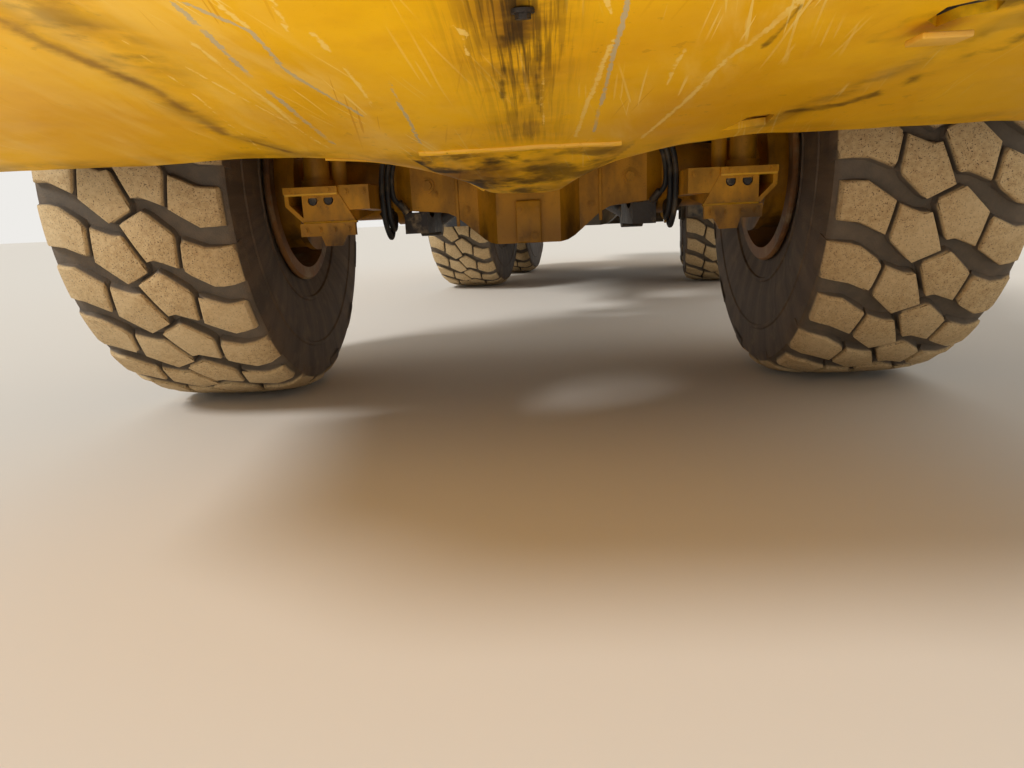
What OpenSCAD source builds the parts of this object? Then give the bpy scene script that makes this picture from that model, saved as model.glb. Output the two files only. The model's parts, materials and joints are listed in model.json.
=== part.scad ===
// Articulated dump truck with six driven wheels: tractor unit, turning hitch and tipping load unit.
// Axes: +X to the truck's left, +Y to its rear, +Z up. Ground at z = 0, millimetres.
// The load unit stands turned at the hitch by rest_turn.

/* [Tyres and rims] */
// Radius over the tread lugs
tyre_r = 800; // [760:5:840]
// Width of the tyre's section
tyre_w = 600; // [540:5:620]
// Radius of the bead seat
rim_r = 318; // [300:1:330]
// Height of a tread lug
lug_h = 38; // [25:1:45]
// Lugs round each side of the tread
lug_n = 26; // [22:1:28]
// Length of a lug along the tread
lug_len = 118; // [90:2:125]
// Slant of the lugs
lug_slant = 14; // [5:1:18]

/* [Axles] */
// Half of the track between tyre centres
half_track = 1200; // [1180:5:1240]
// Front axle to the hitch pin
hinge_y = 1160; // [1140:5:1220]
// Hitch pin to the middle axle
mid_axle_d = 3200; // [3150:10:3300]
// Middle axle to the rear axle
bogie_gap = 1750; // [1720:10:1850]
// Radius of the axle tubes
axle_r = 120; // [100:5:130]
// Lowest point of the front axle's housing
housing_low = 572; // [560:2:600]
// Radius of the wheel spindles
spindle_r = 105; // [90:5:115]
// Radius of the brake drums
drum_r = 215; // [180:5:230]

/* [Rest pose] */
// Turn of the load unit about the hitch pin
rest_turn = -9.9; // [-20:0.1:20]

/* [Front guard] */
// Front edge of the guard
guard_front_y = -2430; // [-2500:10:-2380]
// Height of the front edge
guard_front_z = 1000; // [960:5:1040]
// Half width of the middle panel at its front edge
guard_front_half = 500; // [400:10:600]
// Place of the weld seam
seam_y = -1150; // [-1250:10:-1080]
// Height of the weld seam
seam_z = 825; // [800:5:860]
// Half width at the weld seam
seam_half = 225; // [180:5:300]
// Rear tip of the guard
tip_y = -760; // [-900:10:-700]
// Height of the tip
tip_z = 730; // [700:5:760]
// Half width of the tip
tip_half = 115; // [80:5:160]
// Rear edge of the wings
wing_y = -1050; // [-1100:10:-950]
// Height of the wings' rear edge
wing_z = 835; // [820:5:870]
// Half width where the wings start
wing_in_half = 520; // [450:10:600]
// Thickness of the guard plate
guard_t = 16; // [8:1:25]

/* [Bumper] */
// Half width of the bumper
bumper_half = 1420; // [1380:10:1440]
// Half width of its front face
bumper_face_half = 950; // [850:10:1100]
// Start of its side walls
bumper_side_y = -2150; // [-2200:10:-2050]
// Top of the bumper
bumper_top = 1330; // [1300:5:1380]
// Thickness of the bumper's plates
bumper_t = 12; // [8:1:20]

/* [Front frame] */
// Inner half width between the rails
rail_in = 350; // [330:5:370]
// Width of a rail
rail_w = 100; // [80:5:120]
// Underside of the rails
rail_low = 1050; // [1030:5:1070]
// Rear end of the rails
rail_end_y = 950; // [930:5:960]
// Radius of the hitch pin
hitch_pin_r = 55; // [45:1:65]
// Height of the hitch's roll axis
roll_z = 1150; // [1130:5:1170]
// Half height of the hitch barrel
barrel_half = 160; // [155:5:180]
// Thickness of the hinge ears
ear_t = 45; // [30:5:60]

/* [Suspension] */
// Sideways place of the struts
strut_x = 757; // [745:1:770]
// Lengthways place of the struts
strut_y = -300; // [-320:5:-280]
// Radius of the strut's barrel
strut_r = 45; // [38:1:52]
// Top of the axle brackets' flanges
bracket_top = 795; // [790:1:805]
// Outer edge of the flanges
bracket_out = 832; // [825:1:845]
// Outer edge of the brackets' front plates
bracket_flat = 772; // [765:1:780]
// Inner edge of the front plates at their foot
bracket_in = 588; // [580:1:600]
// Height of the front plates
bracket_h = 123; // [115:1:130]

/* [Hood] */
// Half width of the hood
hood_half = 700; // [660:5:740]
// Front of the hood
hood_front_y = -2400; // [-2420:5:-2350]
// Rear edge of the hood
hood_rear_y = -880; // [-900:5:-870]
// Height of the hood at its rear
hood_rear_z = 2420; // [2350:5:2480]
// Height of the hood at its nose
hood_nose_z = 2120; // [2050:5:2200]
// Thickness of the hood
hood_t = 12; // [8:1:20]
// Rounding of the hood's long edges
hood_edge_r = 130; // [60:5:180]
// Rounding of the hood's nose
hood_nose_r = 300; // [200:10:350]

/* [Cab] */
// Half width of the cab
cab_half = 780; // [740:5:820]
// Front wall of the cab at its floor
cab_front_y = -820; // [-840:5:-800]
// Rear wall of the cab
cab_rear_y = 760; // [700:5:800]
// Underside of the cab
cab_low = 1750; // [1720:5:1780]
// Top of the cab
cab_top = 3400; // [3350:5:3500]
// Set-back of the roof's front edge
cab_rake = 200; // [150:5:260]
// Thickness of the cab's walls
cab_t = 60; // [40:5:80]
// Gap round the door
door_gap = 8; // [5:1:15]
// Rounding of the roof's long edges
roof_r = 110; // [80:5:130]

/* [Engine and drive] */
// Front face of the engine
engine_front_y = -1950; // [-2000:10:-1900]
// Bottom of the engine
engine_low = 960; // [940:5:1000]
// Top of the engine
engine_top = 1950; // [1850:10:2000]
// Half width of the transmission
transmission_half = 300; // [260:5:330]
// Bottom of the transmission
transmission_low = 1060; // [1050:5:1080]
// Height of the transmission
transmission_h = 500; // [420:10:520]
// Height of the transfer case
transfer_h = 430; // [380:10:450]
// Height of the tanks' bottom
tank_low = 1090; // [1080:5:1120]
// Height of the tanks
tank_h = 550; // [450:10:600]

/* [Mudguards and deck] */
// Top of the deck
deck_z = 1745; // [1735:5:1760]
// Thickness of mudguards and deck
deck_t = 14; // [8:1:20]

/* [Load frame] */
// Inner half width between the rear rails
rear_rail_in = 340; // [330:5:350]
// Width of a rear rail
rear_rail_w = 120; // [100:5:130]
// Underside of the rear rails
rear_rail_low = 1000; // [980:5:1020]
// Top of the rear rails
rear_rail_top = 1320; // [1300:5:1335]
// Front ends of the rear rails behind the hitch pin
rear_rail_d = 750; // [740:10:800]
// Radius of the hitch tube
tube_r = 150; // [130:5:165]

// Thickness of the bogie beams
beam_t = 120; // [100:5:140]
// Height of the bogie beams at their middle
beam_h = 200; // [160:5:220]

/* [Dump body] */
// Body hinge behind the hitch pin
tip_d = 5350; // [5300:10:5400]
// Height of the body hinge
tip_hinge_z = 1420; // [1410:5:1440]
// Front wall behind the hitch pin
body_front_d = 950; // [930:10:1000]
// Tail end behind the hitch pin
body_tail_d = 6750; // [6500:10:6900]
// Underside of the floor
body_low = 1500; // [1480:5:1540]
// Half width of the flat floor
floor_half = 660; // [620:5:700]
// Half width at the bottom of the sides
side_half = 1400; // [1360:5:1420]
// Height where the floor's slopes meet the sides
side_z = 2050; // [1980:5:2120]
// Top of the sides
body_top = 2850; // [2700:5:2950]
// Height of the tail's lower edge
tail_z = 2150; // [2050:5:2250]
// Thickness of the body's plates
body_t = 16; // [10:1:25]
// Top of the headboard
headboard_top = 3150; // [3000:5:3250]
// Depth of the ribs round the body
rib_h = 40; // [25:1:45]
// Width of the ribs
rib_w = 110; // [80:5:140]
// Distance between the ribs
rib_pitch = 900; // [850:10:950]

/* [Cylinders] */
// Sideways place of the hoist cylinders
hoist_x = 740; // [720:5:750]
// Lower hoist pin behind the middle axle
hoist_foot = 1200; // [1150:10:1250]
// Height of the lower hoist pin
hoist_low_z = 620; // [600:5:680]
// Upper hoist pin behind the hitch pin
hoist_up_d = 2860; // [2800:10:2900]
// Height of the upper hoist pin
hoist_up_z = 1420; // [1400:5:1430]
// Radius of the hoist barrels
hoist_r = 80; // [60:1:90]
// Closed hoist barrels' end to the upper pin
hoist_closed = 135; // [125:1:160]
// Sideways place of the steering cylinders' front pins
steer_x = 550; // [530:5:570]
// Lengthways place of the front pins
steer_y = 160; // [140:5:200]
// Sideways place of the rear pins
steer_rear_x = 420; // [400:5:430]
// Rear pins behind the hitch pin
steer_rear_d = 300; // [290:5:310]
// Height of the steering cylinders
steer_z = 960; // [950:1:965]
// Radius of the steering barrels
steer_r = 50; // [40:1:60]
// Length of the steering barrels from their pin
steer_len = 820; // [800:5:830]

/* [Hidden] */
$fn = 48;

yellow = [0.85, 0.60, 0.05];
dark = [0.16, 0.15, 0.14];
grey = [0.42, 0.42, 0.41];
rubber = [0.20, 0.18, 0.16];

axle_z = tyre_r;
rear_axle_d = mid_axle_d + bogie_gap;
hoist_low_d = mid_axle_d + hoist_foot;
seat_gap = 0.3;
pin_gap = 0.5;
move_gap = 5;
rail_out = rail_in + rail_w;
rail_top = bumper_top;
rear_rail_out = rear_rail_in + rear_rail_w;

// Middle of the whole truck's box, where the origin stands
tail_right_x = side_half * cos(rest_turn) - body_tail_d * sin(rest_turn);
tail_left_y = hinge_y + body_tail_d * cos(rest_turn) - side_half * sin(rest_turn);
outer_x = half_track + tyre_w / 2;
origin_x = (tail_right_x - outer_x) / 2;
origin_y = (tail_left_y + guard_front_y - 20) / 2;

// Placing

module tractor() {
    translate([-origin_x, -origin_y, 0]) children();
}

// Local origin on the hitch pin, +Y along the load unit
module load_unit() {
    tractor() translate([0, hinge_y, 0]) rotate([0, 0, rest_turn]) children();
}

module both_sides() {
    children();
    mirror([1, 0, 0]) children();
}

// Solids between coordinates

module block(x, y, z) {
    translate([x[0], y[0], z[0]]) cube([x[1] - x[0], y[1] - y[0], z[1] - z[0]]);
}

module rod_x(x, y, z, r) {
    translate([x[0], y, z]) rotate([0, 90, 0]) cylinder(h = x[1] - x[0], r = r);
}

module rod_y(x, y, z, r) {
    translate([x, y[0], z]) rotate([-90, 0, 0]) cylinder(h = y[1] - y[0], r = r);
}

module rod_z(x, y, z, r) {
    translate([x, y, z[0]]) cylinder(h = z[1] - z[0], r = r);
}

// Round bar from point a to point b
module bar(a, b, r) {
    v = b - a;
    l = norm(v);
    translate(a) rotate([0, acos(v[2] / l), atan2(v[1], v[0])]) cylinder(h = l, r = r);
}

// Outline in Y and Z, extruded between two X
module side_plate(x, outline) {
    translate([x[0], 0, 0]) rotate([90, 0, 90])
        linear_extrude(height = x[1] - x[0]) polygon(outline);
}

// Outline in X and Z, extruded between two Y
module front_plate(y, outline) {
    translate([0, y[1], 0]) rotate([90, 0, 0])
        linear_extrude(height = y[1] - y[0]) polygon(outline);
}

// Points along an arc
function arc(c, r, a0, a1, n) = [
    for (i = [0 : n]) c + r * [cos(a0 + (a1 - a0) * i / n), sin(a0 + (a1 - a0) * i / n)]
];

// Rectangle with round corners
function round_rect(x, z, r, n = 6) = concat(
    arc([x[1] - r, z[1] - r], r, 0, 90, n), arc([x[0] + r, z[1] - r], r, 90, 180, n),
    arc([x[0] + r, z[0] + r], r, 180, 270, n), arc([x[1] - r, z[0] + r], r, 270, 360, n)
);

// Tyres and rims, made about the X axis with the outer side towards +X

bead_half = tyre_w * 0.42;
shoulder_r = tyre_r - 50;
base_r = tyre_r - lug_h;

module tyre_casing() {
    rotate([90, 0, 90]) rotate_extrude($fn = 96)
        polygon([
            [rim_r + seat_gap, -bead_half], [rim_r + 90, -bead_half - 25],
            [rim_r + 230, -tyre_w / 2], [shoulder_r - 110, -tyre_w / 2 + 4],
            [shoulder_r - lug_h, -tyre_w * 0.46], [base_r, -tyre_w * 0.25],
            [base_r, tyre_w * 0.25], [shoulder_r - lug_h, tyre_w * 0.46],
            [shoulder_r - 110, tyre_w / 2 - 4], [rim_r + 230, tyre_w / 2],
            [rim_r + 90, bead_half + 25], [rim_r + seat_gap, bead_half],
            [rim_r + 90, bead_half - 30], [base_r - 60, tyre_w * 0.36],
            [base_r - 60, -tyre_w * 0.36], [rim_r + 90, -bead_half + 30]
        ]);
}

module lug() {
    rotate([0, 0, lug_slant]) translate([0, lug_len / 2, 0]) rotate([90, 0, 0])
        linear_extrude(height = lug_len)
            polygon([
                [14, base_r - 12], [14, tyre_r - 3], [tyre_w * 0.26, tyre_r - 6],
                [tyre_w * 0.465, shoulder_r], [tyre_w * 0.475, shoulder_r - 75],
                [tyre_w * 0.43, shoulder_r - 75], [tyre_w * 0.24, base_r - 12]
            ]);
}

module tyre_shape() {
    tyre_casing();
    for (i = [0 : lug_n - 1])
        for (side = [0, 1])
            rotate([(i + side / 2) * 360 / lug_n, 0, 0]) mirror([side, 0, 0]) lug();
}

rim_half = bead_half + 14;
rim_inner = rim_r - 22;
flange_r = rim_r + 28;
flange_t = 16;
disc_x = 40;
disc_half = 15;
cone_x = 60;
cone_r = 205;
edge = 8;
hand_hole_n = 8;
hand_hole_r = 28;
hand_hole_place = 238;
hub_r = 168;

module rim_shape() {
    difference() {
        rotate([90, 0, 90]) rotate_extrude($fn = 96)
            polygon([
                [rim_inner, -rim_half - flange_t], [flange_r - edge, -rim_half - flange_t],
                [flange_r, -rim_half - flange_t + edge], [flange_r, -rim_half], [rim_r, -rim_half],
                [rim_r, rim_half], [flange_r, rim_half], [flange_r, rim_half + flange_t - edge],
                [flange_r - edge, rim_half + flange_t], [rim_inner, rim_half + flange_t],
                [rim_inner, disc_x + cone_x + disc_half], [cone_r, disc_x + disc_half],
                [spindle_r + pin_gap, disc_x + disc_half], [spindle_r + pin_gap, disc_x - disc_half],
                [cone_r - edge, disc_x - disc_half], [rim_inner, disc_x + cone_x - disc_half]
            ]);
        for (i = [0 : hand_hole_n - 1])
            rotate([i * 360 / hand_hole_n, 0, 0])
                rod_x([disc_x - 40, disc_x + cone_x + 40], 0, hand_hole_place, hand_hole_r);
    }
    rotate([90, 0, 90]) rotate_extrude($fn = 96)
        polygon([
            [0, disc_x + pin_gap], [hub_r + 24, disc_x + pin_gap], [hub_r + 24, disc_x + 40],
            [hub_r, disc_x + 48], [hub_r, disc_x + 130], [hub_r - 16, disc_x + 155],
            [hub_r - 50, disc_x + 168], [hub_r - 56, disc_x + 200], [hub_r - 110, disc_x + 212],
            [0, disc_x + 212]
        ]);
}

module at_wheel(side, d) {
    translate([side * half_track, d, axle_z]) mirror([side < 0 ? 1 : 0, 0, 0]) children();
}

// Axles: a casting with a low belly and a nose, tubes, brake drums and spindles

casting_half = 500;
casting_y = axle_r + 70;
nose_y = axle_r + 180;
nose_half = 115;
nose_top = axle_z + 100;
belly_half = 330;
belly_drop = 123;

// Half of the belly's edge, from its flat bottom outwards
function belly(low, side) = [
    for (i = [0 : 8]) [
        side * (nose_half + (belly_half - nose_half) * i / 8),
        low + belly_drop * (1 - cos(180 * i / 8)) / 2
    ]
];
function backwards(points) = [for (i = [len(points) - 1 : -1 : 0]) points[i]];

module axle_casting(low) {
    intersection() {
        front_plate([-nose_y, casting_y], concat(
            [[-casting_half, low + belly_drop + 15]], backwards(belly(low, -1)), belly(low, 1),
            [[casting_half, low + belly_drop + 15], [casting_half, axle_z + 100],
             [250, axle_z + 170], [-250, axle_z + 170], [-casting_half, axle_z + 100]]
        ));
        translate([0, 0, low - 10]) linear_extrude(height = axle_z + 200 - low) polygon([
            [-casting_half, casting_y], [-casting_half, -casting_y + 45],
            [-casting_half + 60, -casting_y], [-nose_half - 75, -casting_y], [-nose_half, -nose_y],
            [nose_half, -nose_y], [nose_half + 75, -casting_y], [casting_half - 60, -casting_y],
            [casting_half, -casting_y + 45], [casting_half, casting_y]
        ]);
        side_plate([-casting_half - 1, casting_half + 1], [
            [-nose_y, low - 1], [casting_y, low - 1], [casting_y, axle_z + 171],
            [-casting_y, axle_z + 171], [-nose_y, nose_top]
        ]);
    }
}

module axle_shape(low, shaft) {
    axle_casting(low);
    rod_y(0, [-nose_y - 8, -nose_y + 1], low + 105, 40);
    translate([0, casting_y - 1, axle_z + 10]) rotate([-90, 0, 0])
        cylinder(h = shaft - 90, r1 = 150, r2 = 95);
    rod_y(0, [casting_y, axle_r + shaft], axle_z + 10, 80);
    rod_y(0, [axle_r + shaft - 25, axle_r + shaft], axle_z + 10, 95);
    both_sides() {
        rod_x([casting_half - 10, half_track - 320], 0, axle_z, axle_r);
        rod_x([half_track - 330, half_track - 306], 0, axle_z, drum_r + 12);
        rod_x([half_track - 320, half_track - 190], 0, axle_z, drum_r);
        rod_x([half_track - 200, half_track + disc_x], 0, axle_z, spindle_r);
    }
}

module front_axle() {
    color(yellow) tractor() {
        axle_shape(housing_low, 210);
        both_sides() rod_x([casting_half - 5, casting_half + 25], 0, axle_z, axle_r + 22);
    }
}

module rear_axles() {
    color(dark) load_unit()
        for (d = [mid_axle_d, rear_axle_d]) translate([0, d, 0]) axle_shape(housing_low, 170);
}

// Front axle's brackets, struts and arms

bracket_y = [strut_y - 150, strut_y + 240];
bracket_low = bracket_top - bracket_h;
plate_t = 22;
slot_r = 17;

// Hole with a flat top
module flat_top_hole(x, z) {
    intersection() {
        rod_y(x, [bracket_y[0] - 5, bracket_y[0] + plate_t + 5], z, slot_r);
        block([x - slot_r - 1, x + slot_r + 1], [bracket_y[0] - 6, bracket_y[0] + plate_t + 6],
              [z - slot_r - 1, z + slot_r / 2]);
    }
}

module axle_brackets() {
    color(yellow) tractor() both_sides() difference() {
        union() {
            block([bracket_in + 57, bracket_out], [bracket_y[0] - 10, bracket_y[1]],
                  [bracket_top - plate_t, bracket_top]);
            block([bracket_in - 48, bracket_in + 58], [bracket_y[0] + 5, bracket_y[1]],
                  [bracket_top - 80, bracket_top + 2]);
            front_plate([bracket_y[0], bracket_y[0] + plate_t], [
                [bracket_in + 57, bracket_top - plate_t + 1], [bracket_in, bracket_low],
                [bracket_flat, bracket_low], [bracket_flat, bracket_top - plate_t + 1]
            ]);
            for (x = [bracket_in + 22, bracket_flat - plate_t])
                side_plate([x, x + plate_t], [
                    [bracket_y[0] + plate_t - 1, bracket_top - plate_t + 1],
                    [bracket_y[0] + plate_t - 1, bracket_low], [bracket_y[1], bracket_low + 40],
                    [bracket_y[1], bracket_top - plate_t + 1]
                ]);
            front_plate([bracket_y[0], bracket_y[1] - 60], [
                [bracket_flat - 1, bracket_low], [bracket_out, bracket_top - 62],
                [bracket_out, bracket_top - plate_t + 1], [bracket_out - 14, bracket_top - plate_t + 1],
                [bracket_out - 14, bracket_top - 56], [bracket_flat - 1, bracket_low + 19]
            ]);
            block([bracket_in + 2, bracket_flat + 8], [bracket_y[0] - 20, bracket_y[0] + 2],
                  [bracket_low - 42, bracket_low + 1]);
            front_plate([bracket_y[0] - 14, bracket_y[0] + 2], [
                [bracket_in + 33, bracket_low - 41], [bracket_in + 52, bracket_low - 76],
                [bracket_flat - 72, bracket_low - 76], [bracket_flat - 60, bracket_low - 41]
            ]);
        }
        rod_x([bracket_in - 100, half_track], 0, axle_z, axle_r + seat_gap);
        for (x = [bracket_in + 92, bracket_flat - 37])
            flat_top_hole(x, bracket_top - 45);
    }
}

strut_top = 1240;
damper_x = strut_x - 78;
damper_r = 26;

module suspension_struts() {
    color(yellow) tractor() both_sides() {
        rod_z(strut_x, strut_y, [bracket_top, bracket_top + 30], strut_r + 12);
        rod_z(strut_x, strut_y, [bracket_top + 20, bracket_top + 230], strut_r);
        rod_z(strut_x, strut_y, [bracket_top + 205, bracket_top + 230], strut_r + 8);
        rod_z(strut_x, strut_y, [bracket_top + 220, strut_top], strut_r - 15);
        rod_z(strut_x, strut_y, [strut_top - 50, strut_top], strut_r + 8);
        rod_z(damper_x, strut_y + 20, [bracket_top, bracket_top + 210], damper_r);
        rod_z(damper_x, strut_y + 20, [bracket_top + 200, strut_top], damper_r - 12);
        rod_z(damper_x, strut_y + 20, [strut_top - 30, strut_top], damper_r);
    }
}

arm_front = [440, axle_r + 145, 665];
arm_rear = [215, rail_end_y - 310, 830];
arm_r = 42;
arm_half = 45;
arm_eye_r = 62;

// Underside of the front axle's casting beside its middle
function housing_under(x) = housing_low + 123 + (x - 330) * 15 / 170;

module radius_arms() {
    color(dark) tractor() both_sides() {
        difference() {
            union() {
                bar(arm_front, arm_rear, arm_r);
                for (p = [arm_front, arm_rear])
                    rod_x([p[0] - arm_half, p[0] + arm_half], p[1], p[2], arm_eye_r);
                block([arm_front[0] - arm_half, arm_front[0] + arm_half], [-axle_r, arm_front[1]],
                      [arm_front[2] - arm_half, housing_under(arm_front[0] - arm_half) - seat_gap]);
            }
            rod_x([arm_front[0] - 80, arm_front[0] + 80], 0, axle_z, axle_r + seat_gap);
        }
    }
}

// Guard under the nose: folded plate with a middle panel, two wings and a rear tip

guard_points = [
    [-guard_front_half, guard_front_y, guard_front_z], [guard_front_half, guard_front_y, guard_front_z],
    [bumper_half, bumper_side_y, guard_front_z], [bumper_half, wing_y, wing_z],
    [wing_in_half, wing_y, wing_z], [tip_half, tip_y, tip_z], [-tip_half, tip_y, tip_z],
    [-wing_in_half, wing_y, wing_z], [-bumper_half, wing_y, wing_z],
    [-bumper_half, bumper_side_y, guard_front_z],
    [-seam_half, seam_y, seam_z], [seam_half, seam_y, seam_z]
];
guard_faces = [
    [0, 1, 11], [0, 11, 10], [10, 11, 5], [10, 5, 6], [1, 2, 3], [1, 3, 4], [1, 4, 11], [11, 4, 5],
    [0, 8, 9], [0, 7, 8], [0, 10, 7], [10, 6, 7]
];

// Closed plate of thickness t over faces whose first count points run round its edge
module folded_plate(points, faces, count, t) {
    n = len(points);
    polyhedron(
        points = concat(points, [for (p = points) p + [0, 0, t]]),
        faces = concat(
            faces,
            [for (f = faces) [f[0] + n, f[2] + n, f[1] + n]],
            [for (i = [0 : count - 1]) let (j = (i + 1) % count) [i, i + n, j + n]],
            [for (i = [0 : count - 1]) let (j = (i + 1) % count) [i, j + n, j]]
        )
    );
}

module skid_guard() {
    color(yellow) tractor() folded_plate(guard_points, guard_faces, 10, guard_t);
}

bumper_low = guard_front_z + guard_t;
tow_pin_r = 25;
lamp_x = 700;
lamp_z = [bumper_low + 114, bumper_top - 70];
tow_z = [bumper_low + 74, bumper_low + 184];
hood_low = bumper_top + bumper_t + move_gap;
hood_pin_y = hood_front_y - 15;
hood_pin_z = hood_low + 15;
hood_pin_r = 7;
hood_knuckle_x = [560, 640];

module bumper_plan(inset) {
    polygon([
        [-bumper_face_half, guard_front_y + inset], [bumper_face_half, guard_front_y + inset],
        [bumper_half - inset, bumper_side_y + inset / 2], [bumper_half - inset, wing_y],
        [-bumper_half + inset, wing_y], [-bumper_half + inset, bumper_side_y + inset / 2]
    ]);
}

module bumper() {
    color(yellow) tractor() {
        difference() {
            translate([0, 0, bumper_low]) linear_extrude(height = bumper_top + bumper_t - bumper_low)
                bumper_plan(0);
            translate([0, 0, bumper_low - 1]) linear_extrude(height = bumper_top - bumper_low + 1)
                bumper_plan(bumper_t);
            block([-bumper_half, bumper_half], [wing_y - 5, wing_y + 5],
                  [bumper_low - 1, bumper_top]);
            block([-bumper_face_half + 60, bumper_face_half - 60], [hood_front_y + 160, wing_y + 5],
                  [bumper_top - 1, bumper_top + bumper_t + 1]);
            for (x = [-lamp_x, lamp_x])
                front_plate([guard_front_y - 5, guard_front_y + bumper_t + 5],
                            round_rect([x - 150, x + 150], lamp_z, 40));
        }
        both_sides() side_plate([bumper_half - bumper_t, bumper_half], [
            [bumper_side_y + 5, bumper_low], [wing_y, wing_z + guard_t], [wing_y, bumper_low + 5],
            [bumper_side_y + 5, bumper_low + 5]
        ]);
        both_sides() {
            rod_x(hood_knuckle_x + [-25, 25], hood_pin_y, hood_pin_z, hood_pin_r);
            for (x = [hood_knuckle_x[0] - 25, hood_knuckle_x[1] + 5])
                block([x, x + 20], [hood_pin_y - 12, hood_pin_y + 8],
                      [bumper_top + bumper_t - 1, hood_pin_z + 9]);
        }
        difference() {
            block([-90, 90], [guard_front_y - 90, guard_front_y + 5], tow_z);
            block([-95, 95], [guard_front_y - 95, guard_front_y - 12], tow_z + [30, -30]);
            rod_z(0, guard_front_y - 50, tow_z + [-10, 10], tow_pin_r);
        }
    }
}

// Front frame

cross_y = [rail_end_y - 90, rail_end_y];
pedestal_y = [cab_front_y + 60, cab_rear_y - 160];
ear_r = 150;
ear_low = [roll_z - barrel_half - move_gap - ear_t, roll_z - barrel_half - move_gap];
ear_high = [roll_z + barrel_half + move_gap, roll_z + barrel_half + move_gap + ear_t];

module hinge_ear(z) {
    block([-ear_r, ear_r], [cross_y[0], hinge_y], z);
    rod_z(0, hinge_y, z, ear_r);
}

module front_frame() {
    color(yellow) tractor() {
        both_sides() {
            block([rail_in, rail_out], [guard_front_y + 40, rail_end_y], [rail_low, rail_top]);
            block([rail_out - 1, bracket_out], [strut_y - 120, strut_y + 120], [strut_top, rail_top]);
            for (y = pedestal_y)
                block([rail_in, rail_out], [y, y + 100], [rail_top - 1, cab_low]);
            block([rail_out - 1, steer_x + 60], [steer_y - 70, steer_y + 70],
                  [rail_low, rail_low + 60]);
            block([steer_x - 60, steer_x + 60], [steer_y - 70, steer_y + 70],
                  [steer_z + 60, rail_low + 1]);
            rod_z(steer_x, steer_y, [steer_z - 45, steer_z + 61], 30);
            block([arm_rear[0] + arm_half + seat_gap, arm_rear[0] + arm_half + 50],
                  [arm_rear[1] + 8, arm_rear[1] + 68], [arm_rear[2] - 60, rail_low - 20]);
            block([arm_rear[0] + arm_half + seat_gap, rail_in + 40],
                  [arm_rear[1] + 8, arm_rear[1] + 68], [rail_low - 21, rail_low + 1]);
        }
        for (y = [guard_front_y + 60, -650, cross_y[0]])
            block([-rail_in - 1, rail_in + 1], [y, y + 90], [rail_low, rail_top]);
        block([-200, 200], cross_y, [ear_low[0], rail_low + 1]);
        hinge_ear(ear_low);
        hinge_ear(ear_high);
        rod_z(0, hinge_y, [ear_low[0] - 15, ear_high[1] + 15], hitch_pin_r);
    }
}

// Engine, radiator, transmission

transfer_y = [140, 700];
shaft_z = axle_z + 30;

module engine() {
    color(dark) tractor()
        block([-rail_in + seat_gap, rail_in - seat_gap], [engine_front_y, cab_front_y - 40],
              [engine_low, engine_top]);
}

module radiator() {
    color(dark) tractor()
        block([-480, 480], [hood_front_y + 170, hood_front_y + 290],
              [rail_top + seat_gap, engine_top]);
}

module transmission() {
    color(dark) tractor() {
        side_plate([-transmission_half, transmission_half], round_rect(
            [cab_front_y + 280, transfer_y[0] + 10],
            [transmission_low, transmission_low + transmission_h], 60));
        block([-rail_in + seat_gap, rail_in - seat_gap], transfer_y,
              [rail_low + 20, rail_low + 20 + transfer_h]);
        front_plate([transfer_y[1] - 180, transfer_y[1]], concat(
            [[150, rail_low + 21], [-150, rail_low + 21]],
            arc([0, shaft_z + 70], 150, 190, 350, 10)
        ));
        rod_y(0, [axle_r + 210 + seat_gap, transfer_y[1] - 175], shaft_z, 42);
        rod_y(0, [axle_r + 210 + seat_gap, axle_r + 235], shaft_z, 60);
    }
}

// Mudguards with deck

guard_r = deck_z - 2 * deck_t - axle_z + 1;
guard_in = bracket_out + 30;
guard_out = outer_x - 30;

module mudguards() {
    color(dark) tractor() both_sides() {
        side_plate([guard_in, guard_out], concat(
            arc([0, axle_z], guard_r + deck_t, 8, 172, 24),
            arc([0, axle_z], guard_r, 172, 8, 24)
        ));
        block([cab_half + 20, guard_out], [wing_y - 60, guard_r - 20], [deck_z - deck_t, deck_z]);
        block([guard_in, guard_out], [wing_y - 60, wing_y - 46],
              [bumper_top + bumper_t + 2, deck_z - deck_t + 1]);
        for (y = pedestal_y)
            block([rail_out + seat_gap, cab_half + 40], [y + 20, y + 80],
                  [deck_z - 60, deck_z - deck_t + 1]);
    }
}

// Underside of the guard's left wing
function wing_under(x, y) =
    guard_front_z - (guard_front_z - wing_z)
        * (y - guard_front_y
           - (bumper_side_y - guard_front_y) * (x - guard_front_half) / (bumper_half - guard_front_half))
        / (wing_y - bumper_side_y);

step_x = [1150, 1400];
step_y = [-1700, -1420];

module steps() {
    color(dark) tractor() {
        for (z = [430, 700])
            block(step_x, step_y, [z, z + 30]);
        for (x = [step_x[0] + 5, step_x[1] - 25])
            block([x, x + 20], [step_y[0] + 100, step_y[0] + 150],
                  [430, wing_under(x, step_y[0] + 150) - seat_gap]);
    }
}

rail_tube_r = 19;
rail_y = [wing_y + 30, strut_y - 150];
handrail_top = deck_z + 950;

module handrails() {
    color(yellow) tractor() both_sides() {
        x = guard_out - 30;
        for (y = rail_y) {
            rod_z(x, y, [deck_z, handrail_top], rail_tube_r);
            rod_z(x, y, [deck_z, deck_z + 12], rail_tube_r + 22);
        }
        for (y = rail_y)
            translate([x, y, handrail_top]) sphere(r = rail_tube_r);
        rod_y(x, rail_y, handrail_top, rail_tube_r);
        rod_y(x, rail_y, deck_z + 480, rail_tube_r);
    }
}

module tanks() {
    color(yellow) tractor() both_sides() {
        side_plate([rail_out + seat_gap, bracket_out + 28],
                   round_rect([300, rail_end_y - 60], [tank_low, tank_low + tank_h], 110, 8));
        rod_z(bracket_out - 60, rail_end_y - 220, [tank_low + tank_h - 5, tank_low + tank_h + 40], 55);
    }
}

// Cab

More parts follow.
